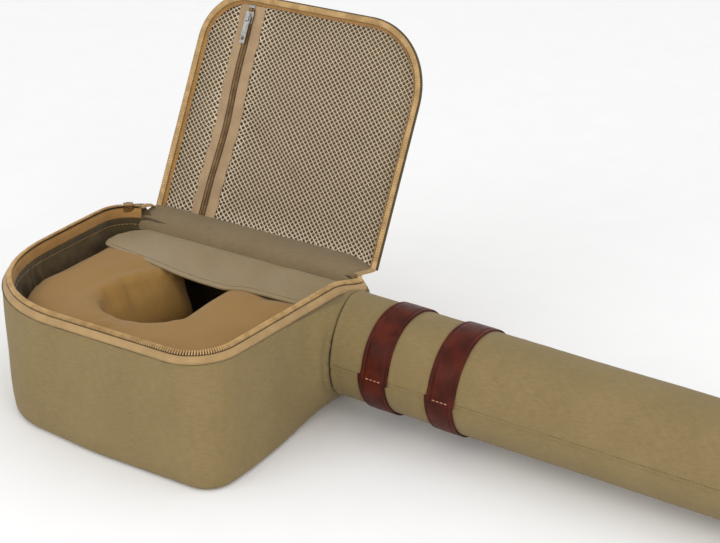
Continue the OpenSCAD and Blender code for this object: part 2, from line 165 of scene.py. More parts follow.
def corner_arcs(x0, x1, y0, y1, radii, spans, step=3.0):
    """Points along rounded corners. spans lists (corner, first angle, last angle), where the
    corner is 0 front left, 1 front right, 2 back right, 3 back left."""
    centres = corner_centres(x0, x1, y0, y1, radii)
    found = []
    for corner, a0, a1 in spans:
        for a in np.radians(np.arange(a0, a1 + 0.01, step)):
            cx, cy = centres[corner]
            found.append((cx + radii[corner] * math.cos(a), cy + radii[corner] * math.sin(a)))
    return np.array(found)


def even(points, pitch, closed):
    """Resamples a line at about pitch. Returns its points, outward normals and lengths."""
    if closed:
        points = np.vstack([points, points[:1]])
    steps = np.linalg.norm(np.diff(points, axis=0), axis=1)
    keep = np.r_[True, steps > 1e-6]
    points = points[keep]
    length = np.r_[0, np.cumsum(np.linalg.norm(np.diff(points, axis=0), axis=1))]
    count = max(8, int(round(length[-1] / pitch)))
    at = np.linspace(0, length[-1], count + 1)
    if closed:
        at = at[:-1]
    line = np.stack([np.interp(at, length, points[:, i]) for i in range(2)], 1)
    if closed:
        tangent = np.roll(line, -1, 0) - np.roll(line, 1, 0)
    else:
        tangent = np.gradient(line, axis=0)
    tangent /= np.linalg.norm(tangent, axis=1)[:, None]
    return line, np.stack([tangent[:, 1], -tangent[:, 0]], 1), at


ALL_ROUND = ((0, 180, 270), (1, 270, 360), (2, 0, 90), (3, 90, 180))


STRAIGHTS = (150, 150, 200, 80)  # rough length of each straight, from the front's on


def matched_outline(radii, pitch):
    """Points and outward normals round the box. They match one to one for any corner radii."""
    centres = corner_centres(LEFT, RIGHT, FRONT, BACK, radii)
    points, normals = [], []
    for corner, radius in enumerate(radii):
        count = int(CORNERS[corner] * math.pi / 2 / pitch) + 4
        turn = np.radians(np.linspace(180, 270, count) + 90 * corner)
        normal = np.stack([np.cos(turn), np.sin(turn)], 1)
        points.append(np.array(centres[corner]) + radius * normal)
        normals.append(normal)
    line, out = [], []
    for corner in range(4):
        line.append(points[corner])
        out.append(normals[corner])
        count = int(STRAIGHTS[corner] / pitch)
        t = np.linspace(0, 1, count + 2)[1:-1, None]
        line.append(points[corner][-1] * (1 - t) + points[(corner + 1) % 4][0] * t)
        out.append(np.repeat(normals[corner][-1:], count, 0))
    return np.vstack(line), np.vstack(out)


def box_outline(pitch):
    """Outline of the wall's top edge, a gap where even() gives lengths, and that of its base."""
    return matched_outline(CORNERS, pitch) + (None,) + matched_outline(BASE_CORNERS, pitch)


box_line = box_outline(2.6)
ZIP_SPANS = ((3, 114, 180), (0, 180, 270), (1, 270, 360), (2, 0, 66))
rim_line = even(corner_arcs(LEFT, RIGHT, FRONT, BACK, CORNERS, ZIP_SPANS), 2.6, False)
lid_line = even(corner_arcs(LID_LEFT, LID_RIGHT, LID_FRONT, LID_BACK, LID_CORNERS, ALL_ROUND),
                2.6, True)
LID_SPANS = ((0, 180, 270), (1, 270, 360))


def grid_faces(rows, columns, loop_rows, loop_columns, first=0):
    faces = []
    for i in range(rows if loop_rows else rows - 1):
        for j in range(columns if loop_columns else columns - 1):
            a, b = i * columns, (i + 1) % rows * columns
            k = (j + 1) % columns
            faces.append((first + a + j, first + b + j, first + b + k, first + a + k))
    return faces


def mesh_object(name, points, faces, material, uv=None, sharp=38):
    """Object with a mesh, in metres. uv gives each point's place on the cloth, in millimetres."""
    mesh = bpy.data.meshes.new(name)
    mesh.from_pydata((np.asarray(points, float) * MM).tolist(), [], [tuple(f) for f in faces])
    mesh.materials.append(material)
    shape = bmesh.new()
    shape.from_mesh(mesh)
    bmesh.ops.recalc_face_normals(shape, faces=shape.faces)
    shape.to_mesh(mesh)
    shape.free()
    if uv is not None:
        layer = mesh.uv_layers.new(name="cloth")
        index = np.empty(len(mesh.loops), int)
        mesh.loops.foreach_get("vertex_index", index)
        layer.data.foreach_set("uv", np.asarray(uv, float)[index].ravel())
    mesh.shade_smooth()
    mesh.set_sharp_from_angle(angle=math.radians(sharp))
    obj = bpy.data.objects.new(name, mesh)
    bpy.context.scene.collection.objects.link(obj)
    return obj


def lengths(points, axis):
    """Running length along one axis of a grid of points, averaged over the other."""
    steps = np.linalg.norm(np.diff(points, axis=axis), axis=-1).mean(axis=1 - axis)
    return np.r_[0, np.cumsum(steps)]


def loft(name, points, material, loop=True, sharp=38):
    """Closed solid swept through closed sections. points is [along][round the section]."""
    points = np.asarray(points, float)
    rows, columns = points.shape[:2]
    faces = grid_faces(rows, columns, loop, True)
    if not loop:
        faces.append(tuple(range(columns)))
        faces.append(tuple((rows - 1) * columns + j for j in reversed(range(columns))))
    u, v = np.meshgrid(lengths(points, 0), lengths(points, 1), indexing="ij")
    return mesh_object(name, points.reshape(-1, 3), faces, material,
                       np.stack([u.ravel(), v.ravel()], 1), sharp)


def dish(rings):
    """Points and faces of a closed solid of rings, with a pole at each end."""
    rings = [np.asarray(ring, float) for ring in rings]
    count = len(rings[0])
    points = np.vstack([rings[0].mean(0)[None], *rings, rings[-1].mean(0)[None]])
    faces = grid_faces(len(rings), count, False, True, 1)
    last = len(points) - 1
    for j in range(count):
        k = (j + 1) % count
        faces.append((0, 1 + j, 1 + k))
        faces.append((last, last - count + k, last - count + j))
    return points, faces


def shrunk(line, inset, share=0.0):
    """Outline moved in by inset, then drawn share of the way towards its middle."""
    moved = line[0] - line[1] * inset
    centre = (moved.max(0) + moved.min(0)) / 2
    return centre + (moved - centre) * (1 - share)


def applied(obj):
    """Replaces the object's mesh by what its modifiers make of it."""
    graph = bpy.context.evaluated_depsgraph_get()
    mesh = bpy.data.meshes.new_from_object(obj.evaluated_get(graph), depsgraph=graph)
    obj.modifiers.clear()
    obj.data = mesh
    return obj


def place(obj, body, replaces=()):
    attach(obj, body)
    if replaces:
        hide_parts(*replaces)
    return obj


# ---- Materials ----

def srgb(r, g, b):
    return [((c / 255 + 0.055) / 1.055) ** 2.4 if c > 10 else c / 3295 for c in (r, g, b)] + [1]


class Nodes:
    """A material's node tree, with short calls for the nodes used here."""

    def __init__(self, name):
        self.material = bpy.data.materials.new(name)
        self.material.use_nodes = True
        self.tree = self.material.node_tree
        self.shader = self.tree.nodes["Principled BSDF"]

    def add(self, kind, **settings):
        node = self.tree.nodes.new("ShaderNode" + kind)
        for key, value in settings.items():
            setattr(node, key, value)
        return node

    def join(self, source, target):
        self.tree.links.new(source, target)

    def put(self, socket, value):
        if isinstance(value, bpy.types.NodeSocket):
            self.join(value, socket)
        else:
            socket.default_value = value

    def math(self, operation, a, b=0.0):
        node = self.add("Math", operation=operation)
        self.put(node.inputs[0], a)
        self.put(node.inputs[1], b)
        return node.outputs[0]

    def cloth(self):
        """Place on the cloth, in millimetres."""
        return self.add("UVMap", uv_map="cloth").outputs["UV"]

    def space(self):
        """Place in space, in millimetres."""
        scale = self.add("VectorMath", operation="SCALE")
        self.join(self.add("TexCoord").outputs["Object"], scale.inputs[0])
        scale.inputs["Scale"].default_value = 1000
        return scale.outputs[0]

    def stretched(self, vector, x, y, z=1.0):
        node = self.add("Mapping")
        self.join(vector, node.inputs["Vector"])
        node.inputs["Scale"].default_value = (x, y, z)
        return node.outputs["Vector"]

    def noise(self, vector, size, detail=3.0):
        node = self.add("TexNoise")
        self.join(vector, node.inputs["Vector"])
        node.inputs["Scale"].default_value = 1.0 / size
        node.inputs["Detail"].default_value = detail
        return node.outputs["Fac"]

    def wave(self, vector, period, direction, distortion=0.0):
        node = self.add("TexWave", bands_direction=direction)
        self.join(vector, node.inputs["Vector"])
        node.inputs["Scale"].default_value = math.pi / 10 / period
        node.inputs["Distortion"].default_value = distortion
        return node.outputs["Fac"]

    def range(self, value, low_in, high_in, low_out, high_out):
        node = self.add("MapRange", interpolation_type="SMOOTHSTEP")
        self.put(node.inputs["Value"], value)
        for key, number in zip(("From Min", "From Max", "To Min", "To Max"),
                               (low_in, high_in, low_out, high_out)):
            node.inputs[key].default_value = number
        return node.outputs["Result"]

    def mix(self, factor, a, b, blend="MIX"):
        node = self.add("Mix", data_type="RGBA", blend_type=blend)
        self.put(node.inputs[0], factor)
        self.put(node.inputs[6], a)
        self.put(node.inputs[7], b)
        return node.outputs[2]

    def bump(self, height, distance, under=None):
        node = self.add("Bump")
        node.inputs["Strength"].default_value = 1.0
        node.inputs["Distance"].default_value = distance * MM
        self.put(node.inputs["Height"], height)
        if under is not None:
            self.join(under, node.inputs["Normal"])
        return node.outputs["Normal"]

    def finish(self, colour, roughness, normal, **constants):
        self.put(self.shader.inputs["Base Color"], colour)
        self.put(self.shader.inputs["Roughness"], roughness)
        self.join(normal, self.shader.inputs["Normal"])
        for key, value in constants.items():
            self.shader.inputs[key.replace("_", " ")].default_value = value
        return self.material


def cloth_material(name, light, dark, pitch, depth, roughness=0.85, sheen=0.25, folds=0.25,
                   planar=False, thread=0.5, specular=0.3):
    """Woven cloth: threads both ways at pitch, patches of colour, soft folds."""
    n = Nodes(name)
    place_on = n.space() if planar else n.cloth()
    warp = n.wave(place_on, pitch, "X", 0.4)
    weft = n.wave(place_on, pitch, "Y", 0.4)
    weave = n.math("MULTIPLY", warp, weft)
    slub = n.noise(n.stretched(place_on, 1 / 7, 1 / 0.5), 1.0, 2)
    patches = n.noise(n.space(), 34, 3)
    grime = n.noise(n.space(), 5, 4)
    tone = n.math("ADD", n.range(patches, 0.3, 0.7, -0.05, 0.05),
                  n.range(slub, 0.3, 0.7, -thread / 4, thread / 4))
    tone = n.math("ADD", tone, n.range(grime, 0.3, 0.7, -0.04, 0.04))
    tone = n.math("ADD", tone, n.range(weave, 0.0, 0.6, 0.3, 0.72))
    colour = n.mix(tone, dark, light)
    normal = n.bump(n.noise(n.space(), 9, 2), folds)
    normal = n.bump(weave, depth, normal)
    rough = n.range(grime, 0.3, 0.7, roughness - 0.06, min(1.0, roughness + 0.06))
    return n.finish(colour, rough, normal, Sheen_Weight=sheen, Sheen_Roughness=0.5,
                    Specular_IOR_Level=specular)


def leather_material():
    """Polished leather: pores, grain, patches of colour and light scuffs."""
    n = Nodes("leather")
    space = n.space()
    grain = n.add("TexVoronoi", feature="SMOOTH_F1")
    n.join(space, grain.inputs["Vector"])
    grain.inputs["Scale"].default_value = 1.6
    pores = n.noise(space, 0.5, 2)
    patches = n.noise(space, 16, 4)
    scuffs = n.noise(n.stretched(space, 0.3, 1, 1), 1.6, 5)
    colour = n.mix(n.range(patches, 0.3, 0.72, 0, 1), srgb(60, 18, 6), srgb(86, 29, 12))
    colour = n.mix(n.range(scuffs, 0.62, 0.8, 0, 0.2), colour, srgb(122, 58, 42))
    colour = n.mix(n.range(grain.outputs["Distance"], 0.0, 0.5, 0.28, 0), colour,
                   srgb(48, 15, 12))
    normal = n.bump(pores, 0.05, n.bump(grain.outputs["Distance"], 0.05))
    normal = n.bump(n.noise(space, 7, 2), 0.2, normal)
    rough = n.range(scuffs, 0.3, 0.75, 0.36, 0.52)
    return n.finish(colour, rough, normal, Coat_Weight=0.02, Coat_Roughness=0.3,
                    Specular_IOR_Level=0.12)


def metal_material(name, light, dark, roughness):
    n = Nodes(name)
    space = n.space()
    brushed = n.noise(n.stretched(space, 0.15, 2, 2), 0.6, 3)
    spots = n.noise(space, 2.5, 4)
    colour = n.mix(n.range(spots, 0.3, 0.75, 0, 1), light, dark)
    rough = n.range(brushed, 0.3, 0.7, roughness - 0.05, roughness + 0.08)
    return n.finish(colour, rough, n.bump(brushed, 0.006, n.bump(spots, 0.01)), Metallic=1.0)


def plastic_material(name, light, dark, roughness, grain):
    n = Nodes(name)
    space = n.space()
    fine = n.noise(space, grain, 3)
    broad = n.noise(space, 8, 3)
    colour = n.mix(n.range(broad, 0.3, 0.7, 0.0, 1.0), dark, light)
    rough = n.range(fine, 0.3, 0.7, roughness - 0.08, roughness + 0.08)
    return n.finish(colour, rough, n.bump(fine, 0.08))


def ribbed_material(name, light, dark, pitch, roughness=0.75, sheen=0.2):
    """Zip tape: fine ribs along its length."""
    n = Nodes(name)
    cloth = n.cloth()
    ribs = n.wave(cloth, pitch, "Y", 0.2)
    picks = n.wave(cloth, 0.5, "X", 0.3)
    patches = n.noise(n.space(), 14, 3)
    tone = n.math("ADD", n.range(ribs, 0.1, 0.9, 0.25, 0.75), n.range(patches, 0.3, 0.7, -0.2, 0.2))
    tone = n.math("ADD", tone, n.range(picks, 0.0, 1.0, -0.08, 0.08))
    normal = n.bump(picks, 0.05, n.bump(ribs, 0.18))
    return n.finish(n.mix(tone, dark, light), n.range(patches, 0.3, 0.7, roughness - 0.05,
                    roughness + 0.1), normal, Sheen_Weight=sheen, Specular_IOR_Level=0.3)


CANVAS = cloth_material("canvas", srgb(154, 134, 94), srgb(113, 97, 62), 0.75, 0.12,
                        roughness=0.92, sheen=0.08, folds=0.3, specular=0.12)
CANVAS_DARK = cloth_material("canvas_inner", srgb(146, 128, 98), srgb(106, 90, 66), 0.6, 0.08,
                             0.85, 0.08, 0.5, specular=0.12)
LINING = cloth_material("lining", srgb(104, 86, 54), srgb(58, 47, 28), 0.5, 0.06, 0.7, 0.15, 0.6,
                        specular=0.2)
LID_LINING = cloth_material("lid_lining", srgb(138, 118, 84), srgb(98, 82, 56), 0.5, 0.06, 0.7,
                            0.15, 0.6, specular=0.2)
TUBE_LINING = cloth_material("tube_lining", srgb(118, 99, 64), srgb(66, 54, 32), 0.5, 0.06, 0.7,
                             0.3, 0.6, planar=True)
INSERT = cloth_material("insert_cloth", srgb(162, 125, 68), srgb(132, 98, 46), 0.45, 0.03,
                        0.72, 0.12, 0.35, planar=True, thread=0.2, specular=0.2)
FLAP = cloth_material("flap_cloth", srgb(158, 136, 96), srgb(118, 100, 66), 0.4, 0.03, 0.45,
                      0.2, 0.3, thread=0.2, specular=0.35)
FACING = ribbed_material("facing", srgb(176, 133, 76), srgb(138, 100, 52), 1.1, sheen=0.1)
TAPE = ribbed_material("tape", srgb(188, 156, 108), srgb(152, 122, 80), 1.0, sheen=0.1)
POCKET_TAPE = ribbed_material("pocket_tape", srgb(186, 158, 122), srgb(150, 122, 90), 0.9,
                              sheen=0.1)
COIL = plastic_material("coil", srgb(196, 162, 108), srgb(168, 134, 84), 0.5, 0.5)
# The coil's bed is painted much darker than the coil: painted shade in the gaps between the teeth.
COIL_BED_SHADE = plastic_material("coil_bed", srgb(96, 72, 40), srgb(70, 50, 26), 0.8, 0.5)
POCKET_COIL = plastic_material("pocket_coil", srgb(160, 124, 80), srgb(124, 90, 52), 0.5, 0.4)
NET = cloth_material("net", srgb(244, 230, 206), srgb(208, 190, 162), 0.35, 0.05, 0.7, 0.1,
                     0.1, planar=True, specular=0.2)
LEATHER = leather_material()
# Dark colour of the straps' cut edges and pressed lines; on the stitch holes it is painted shade.
LEATHER_EDGE_AND_HOLE_SHADE = plastic_material("leather_edge_and_hole_shade", srgb(66, 24, 18), srgb(38, 14, 11), 0.7, 0.5)
METAL = metal_material("metal", srgb(176, 174, 170), srgb(138, 136, 132), 0.34)
BRONZE = metal_material("bronze", srgb(150, 118, 74), srgb(92, 68, 40), 0.36)
FOAM = plastic_material("foam", srgb(62, 60, 58), srgb(44, 43, 42), 0.9, 0.7)
PLASTIC = plastic_material("plastic", srgb(46, 46, 48), srgb(34, 34, 36), 0.6, 0.4)
THREAD = plastic_material("thread", srgb(120, 104, 70), srgb(88, 74, 46), 0.8, 0.3)
LEATHER_THREAD = plastic_material("leather_thread", srgb(196, 140, 116), srgb(140, 84, 66),
                                  0.7, 0.3)
# Dark thread for thin lines of painted shadow: in the rim's groove, beside the pocket zip's teeth
# and round the tube's neck seam.
SHADOW_THREAD = plastic_material("painted_shadow_line", srgb(84, 66, 38), srgb(56, 43, 25), 0.8, 0.4)


# ---- Reel box ----

def softness(normal):
    """1 where the wall is free to bulge, at the front and the left, and 0 at the back."""
    return np.clip(-normal[..., 0], 0, 1) ** 2 + np.clip(-normal[..., 1], 0, 1) ** 2


FLARE = 4.5          # how far the slack rim stands out at the front and the left
BELLY = 2.6          # how far the wall bulges at half height
NECK_LIP = 5.0       # how far the wall runs out along the tube, on its top and back
FRONT_LIP = 9.0      # how much further it runs out on the tube's front
GROOVE = 3.4         # depth of the crease where the wall meets the tube's front
RIM_LIFT = 3.0       # how far the slack rim stands up at the back left
RIM_DIP = 10.0       # how far it sags onto the tube at the back right
LEAN_LEFT = 11.0     # how much further the left wall leans in at its foot
STEP_RIGHT = 11.0    # how far the foot stands out at the front of the right wall
STEP_FRONT = 14.0    # how far the foot of the front wall stands out


def neck_angle(y, z):
    """Place round the tube: 0 at the back, 90 at the top, 180 at the front."""
    return np.degrees(np.arctan2(z - NECK[2], y - NECK[1])) % 360


def neck_lip(angle):
    """How far along the tube the wall's canvas reaches."""
    return NECK_LIP + FRONT_LIP * np.clip(-np.cos(np.radians(angle)), 0, 1)


def rim_lift(x, y):
    return (RIM_LIFT * ease(y, -40, 75) * ease(-x, 40, 95)
            - RIM_DIP * ease(y, 52, 100) * ease(x, 106, 119))


def wall_point(line, inset, z, outer=False):
    """Point of the box wall, inset from its outer face at height z."""
    p, n = line[0], line[1]
    inset, z = np.broadcast_to(inset, len(p)), np.broadcast_to(np.asarray(z, float), len(p))
    up = np.clip(z / WALL_TOP, 0, 1)
    if len(line) > 3:
        foot = (1 - ease(up, 0.0, 1.0))[:, None]
        p, n = p * (1 - foot) + line[3] * foot, n * (1 - foot) + line[4] * foot
        n = n / np.linalg.norm(n, axis=1)[:, None]
    scale = BASE_SCALE + (1 - BASE_SCALE) * up
    soft = softness(n)
    out = soft * (BELLY * np.sin(np.pi * up) + FLARE * ease(up, 0.35, 1.0))
    x = p[:, 0] * scale + n[:, 0] * (out - inset)
    y = BACK + (p[:, 1] - BACK) * scale + n[:, 1] * (out - inset)
    foot = 1 - ease(up, 0.0, 1.0)
    left, right, front = (np.clip(side, 0, 1) ** 0.7 for side in (-n[:, 0], n[:, 0], -n[:, 1]))
    x = x + foot * (LEAN_LEFT * left + STEP_RIGHT * right * ease(-y, -60, 80))
    y = y - foot * front * (STEP_FRONT * (0.5 + 0.5 * ease(x, -60, 30)))
    if outer:
        body = np.sin(np.pi * np.clip(up, 0, 1)) * ease(up, 0, 0.15)
        ripple = 0.8 * wander(np.stack([x, y, z * 0.6], 1), 42.0, 3.0) * body
        ripple += 0.35 * wander(np.stack([x, y, z * 0.35], 1), 16.0, 9.0) * body
        facing = np.clip(n[:, 0], 0, 1) ** 2
        off = np.hypot(y - NECK[1], z - NECK[2]) - TUBE_R
        angle = neck_angle(y, z)
        front = ease(angle, 125, 160) * (1 - ease(angle, 215, 250))
        lip = (neck_lip(angle) + 0.8) * np.exp(-np.clip(off, 0, 90) / 13.0)
        lip -= front * GROOVE * np.exp(-((off - 1.5) / 2.2) ** 2)
        lip += front * 1.2 * np.exp(-((off - 8) / 6) ** 2)
        hollow = 1.1 * np.exp(-((y + 8) / 34) ** 2) * np.sin(np.pi * up)
        x = x + facing * (lip * ease(up, 0.02, 0.16) - hollow) + n[:, 0] * ripple
        y = y + n[:, 1] * ripple
    return np.stack([x, y, z + rim_lift(x, y) * ease(up, 0.6, 1.0)], 1)


def wall_shell(name, material, outer_rows, inner_rows, outer=False, inner_push=None,
               line=box_line):
    """Ring of wall. Rows are (inset, z), from the top down outside, then back up inside."""
    near = ease(line[0][:, 1], -15, 60) * np.clip(line[1][:, 0], 0, 1) ** 2
    rows = []
    for number, (inset, z) in enumerate(outer_rows + inner_rows):
        inset = inset(near) if callable(inset) else inset
        z = z(near) if callable(z) else z
        points = wall_point(line, inset, z, outer and number < len(outer_rows))
        if inner_push is not None and number >= len(outer_rows):
            points[:, :2] -= line[1] * inner_push(points)[:, None]
        rows.append(points)
    return loft(name, np.stack(rows, 1), material, True)


def cut_neck(obj, radius):
    """Cuts the round hole that lets the box open into the tube."""
    ring = np.arange(0, 360, 3.75)
    ends = [round_tube(x, radius, ring) for x in (-32, 22)]
    points, faces = dish(ends)
    cutter = mesh_object("neck_cutter", points, faces, PLASTIC)
    change = obj.modifiers.new("neck", "BOOLEAN")
    change.operation, change.solver, change.object = "DIFFERENCE", "EXACT", cutter
    applied(obj)
    bpy.data.objects.remove(cutter)
    obj.data.set_sharp_from_angle(angle=math.radians(38))
    return obj


def bottom_radius(near):
    return 5 + 5.5 * near


def bottom_arc(drop):
    """Rows that turn the wall under the box, in from its face by drop all round."""
    rows = []
    for a in np.radians(np.arange(0, 91, 15)):
        rows.append((lambda near, a=a: bottom_radius(near) * (1 - math.cos(a)) + drop * math.cos(a),
                     lambda near, a=a: bottom_radius(near) * (1 - math.sin(a)) + 0.2
                     + drop * math.sin(a)))
    return rows


outer_rows = [(0.0, z) for z in (WALL_TOP, 93.4, 92, 90, 87)] + [
    (0.0, z) for z in np.linspace(84, 14, 19)] + bottom_arc(0.0)
inner_rows = bottom_arc(1.3)[::-1] + [(1.3, z) for z in np.linspace(14, WALL_TOP - 0.4, 12)]
box_canvas = wall_shell("box_canvas", CANVAS, outer_rows, inner_rows, outer=True)
cut_neck(box_canvas, CORE_R + 0.15)
place(box_canvas, "case", ["wall_canvas"])

base_rings = [wall_point(box_line, inset, z) for inset, z in
              ((12, 0.0), (8.5, 0.1), (7.6, 0.7), (8.5, 1.3), (12, 1.4))]
base_rings = ([base_rings[0] * (share, share, 1) for share in (0.3, 0.6)] + base_rings
              + [base_rings[-1] * (share, share, 1) for share in (0.6, 0.3)])
points, faces = dish(base_rings)
base = mesh_object("box_base", points, faces, CANVAS, points[:, :2])
place(base, "case", ["base_canvas"])


def floor_layer(name, node, inset, material):
    """Flat layer that fills the foot of the box, between the node's heights."""
    z0, z1 = low(node)[2], high(node)[2]
    rings = [wall_point(box_line, inset + step, z)
             for step, z in ((0.8, z0), (0, z0 + 0.5), (0, z1 - 0.5), (0.8, z1))]
    rings = [rings[0] * (0.5, 0.5, 1)] + rings + [rings[-1] * (0.5, 0.5, 1)]
    return place(mesh_object(name, *dish(rings), material), "case", [node])


floor_layer("floor_board", "base_board", 8.0, PLASTIC)
floor_layer("floor_padding", "base_pad", 6.9, FOAM)

foam_rows = ([(1.5, z) for z in np.linspace(WALL_TOP - 0.6, 10, 9)],
             [(5.3, z) for z in np.linspace(10, WALL_TOP - 0.6, 9)])
wall_foam = wall_shell("wall_padding", FOAM, *foam_rows)
cut_neck(wall_foam, CORE_R + 0.15)
place(wall_foam, "case", ["wall_foam"])


def lining_folds(points):
    """How far the loose lining stands in from the wall."""
    low_wall = ease(points[:, 2], 10, 30) * (1 - 0.75 * ease(points[:, 2], 84, 91))
    creases = wander(points * (1, 1, 0.22), 7.5, 5.0) + 0.6 * wander(points * (1, 1, 0.5), 3.4, 1.0)
    loose = np.clip((LEFT + 60 - points[:, 0]) / 60, 0, 1)
    return low_wall * (0.5 + (1.1 + 1.5 * loose) * np.clip(creases + 0.35, 0, 1.3))


lining_rows = ([(5.35, z) for z in np.linspace(92.6, 9, 12)],
               [(6.3, z) for z in np.linspace(9, 84, 34)]
               + [(6.6, 86.0), (7.4, 87.6), (8.2, 89.4), (8.6, 91.4), (8.2, 92.8), (6.4, 93.0)])
lining = wall_shell("box_lining", LINING, *lining_rows, inner_push=lining_folds,
                    line=box_outline(1.5))
cut_neck(lining, CORE_R + 0.15)
place(lining, "case", ["wall_lining"])


# ---- Rim of the box and its zip ----

def rim_sweep(name, section, material):
    """Solid that follows the rim. section is a closed list of (inset, z)."""
    rows = [wall_point(rim_line, inset, min(z, WALL_TOP)) for inset, z in section]
    for row, (inset, z) in zip(rows, section):
        row[:, 2] = z + rim_lift(row[:, 0], row[:, 1])
    return loft(name, np.stack(rows, 1), material, False)


def bead(centre, across, up, steps=8, turn=0.0):
    """Closed oval section."""
    turn = math.radians(turn)
    section = []
    for a in np.linspace(0, 2 * math.pi, steps, endpoint=False):
        x, y = across * math.cos(a), up * math.sin(a)
        section.append((centre[0] + x * math.cos(turn) - y * math.sin(turn),
                        centre[1] + x * math.sin(turn) + y * math.cos(turn)))
    return section


TAPE_FOOT = (0.4, WALL_TOP + 0.9)
TAPE_HEAD = (3.6, COIL_LOW + 0.6)
COIL_AT = (5.6, COIL_LOW + 1.7)

rim_edge = rim_sweep("rim_edge", [(-0.15, 93.0), (-0.25, 94.4), (0.2, 95.0), (2.2, 95.2),
                                  (6.4, 95.2), (6.9, 93.6), (5.6, 93.0)], CANVAS)
place(rim_edge, "case", ["rim_binding"])

tape_steps = np.linspace(0, 1, 7)
tape_out = [(TAPE_FOOT[0] + (TAPE_HEAD[0] - TAPE_FOOT[0]) * t - 0.9 * math.sin(math.pi * t),
             TAPE_FOOT[1] + (TAPE_HEAD[1] - TAPE_FOOT[1]) * t + 0.2 * math.sin(math.pi * t))
            for t in tape_steps]
tape_in = [(x + 0.9, z - 0.5) for x, z in reversed(tape_out)]
rim_tape = rim_sweep("rim_tape", tape_out + tape_in, TAPE)
place(rim_tape, "case", ["lower_zip_tape"])

rim_facing = rim_sweep("rim_facing_band", [(6.7, 92.4), (8.9, 92.2), (8.7, 95), (8.3, 97.4),
                                           (7.8, 99.0), (6.8, 99.8), (5.6, 99.6), (5.6, 98.8),
                                           (6.6, 98.2), (7.0, 95), (6.8, 93)], FACING)
place(rim_facing, "case", ["rim_facing"])


def strip_of_teeth(name, line, place_tooth, pitch, size, material):
    """Zip teeth: rounded bars across the tape. size is (across, along, high)."""
    across, along, tall = size
    profile = [(-0.5, 0.0), (-0.42, 0.36), (-0.2, 0.5), (0.2, 0.5), (0.42, 0.36), (0.5, 0.0),
               (0.3, -0.4), (-0.3, -0.4)]
    stations = [(-0.5, 0.45), (-0.4, 0.85), (0.0, 0.95), (0.38, 1.0), (0.5, 0.7)]
    points, faces = [], []
    p, n, at = line
    for place_at in np.arange(at[0] + pitch, at[-1] - pitch / 2, pitch):
        here = np.array([np.interp(place_at, at, p[:, i]) for i in range(2)])
        out = np.array([np.interp(place_at, at, n[:, i]) for i in range(2)])
        out /= np.linalg.norm(out)
        first = len(points)
        for share, swell in stations:
            for u, w in profile:
                points.append(place_tooth(here, out, share * across, u * along * swell,
                                          w * tall * swell))
        count = len(profile)
        faces += grid_faces(len(stations), count, False, True, first)
        faces.append(tuple(first + j for j in range(count)))
        faces.append(tuple(first + (len(stations) - 1) * count + j
                           for j in reversed(range(count))))
    return mesh_object(name, points, faces, material, sharp=60)


rim_tilt = math.radians(24)


def rim_tooth(here, out, across, along, high_up):
    """A rim tooth leans inwards. across runs from the tape towards the middle of the box."""
    flare = FLARE * softness(out)
    inset = COIL_AT[0] - flare + across * math.cos(rim_tilt) - high_up * math.sin(rim_tilt)
    z = COIL_AT[1] + 0.4 + across * math.sin(rim_tilt) + high_up * math.cos(rim_tilt)
    tangent = np.array([-out[1], out[0]])
    xy = here - out * inset + tangent * along
    return (xy[0], xy[1], z + float(rim_lift(xy[0], xy[1])))


# Dark bed under the rim's teeth: painted shade between the teeth.
rim_bed = rim_sweep("rim_coil_bed", bead((COIL_AT[0], COIL_AT[1] - 0.5), 2.2, 0.7, 10, 24),
                    COIL_BED_SHADE)
place(rim_bed, "case", ["lower_zip_coil"])
rim_teeth = strip_of_teeth("rim_teeth", rim_line, rim_tooth, 2.1, (4.1, 1.2, 2.3), COIL)
place(rim_teeth, "case")
# Dark line in the groove between the rim's tape and its coil: painted shadow.
groove_shadow_line = rim_sweep("rim_groove_shadow_line", bead((3.75, COIL_LOW + 0.75), 0.42, 0.42, 6),
                        SHADOW_THREAD)
place(groove_shadow_line, "case")
foot_cord = rim_sweep("rim_foot_stitching", bead((-0.1, 95.0), 0.35, 0.3, 6), THREAD)
place(foot_cord, "case")


def dashes(name, points, pitch, length, radius, material, body):
    """Row of stitches along a line of points."""
    points = np.asarray(points, float)
    steps = np.linalg.norm(np.diff(points, axis=0), axis=1)
    at = np.r_[0, np.cumsum(steps)]
    found, faces = [], []
    ring = np.linspace(0, 2 * math.pi, 6, endpoint=False)
    for start in np.arange(pitch / 2, at[-1] - length, pitch):
        ends = [np.array([np.interp(s, at, points[:, i]) for i in range(3)])
                for s in (start, start + length)]
        axis = (ends[1] - ends[0]) / np.linalg.norm(ends[1] - ends[0])
        side = np.cross(axis, (0.31, 0.17, 0.93))
        side /= np.linalg.norm(side)
        other = np.cross(axis, side)
        first = len(found)
        for share, size in ((-0.06, 0.35), (0.12, 0.9), (0.5, 1.15), (0.88, 0.9), (1.06, 0.35)):
            centre = ends[0] + (ends[1] - ends[0]) * share
            for a in ring:
                found.append(centre + (side * math.cos(a) + other * math.sin(a)) * radius * size)
        faces += grid_faces(5, 6, False, True, first)
        faces.append(tuple(first + j for j in range(6)))
        faces.append(tuple(first + 24 + j for j in reversed(range(6))))
    obj = mesh_object(name, found, faces, material)
    return place(obj, body)


dashes("lining_stitches", wall_point(rim_line, 8.15, 86.4), 3.4, 2.4, 0.28, TAPE, "case")


# ---- Lid ----

def lid_ring(inset, z, share=0.0):
    """Ring of the lid's outline. share draws it towards the middle."""
    flat = shrunk(lid_line, inset, share)
    return np.column_stack([flat, np.broadcast_to(z, len(flat))])


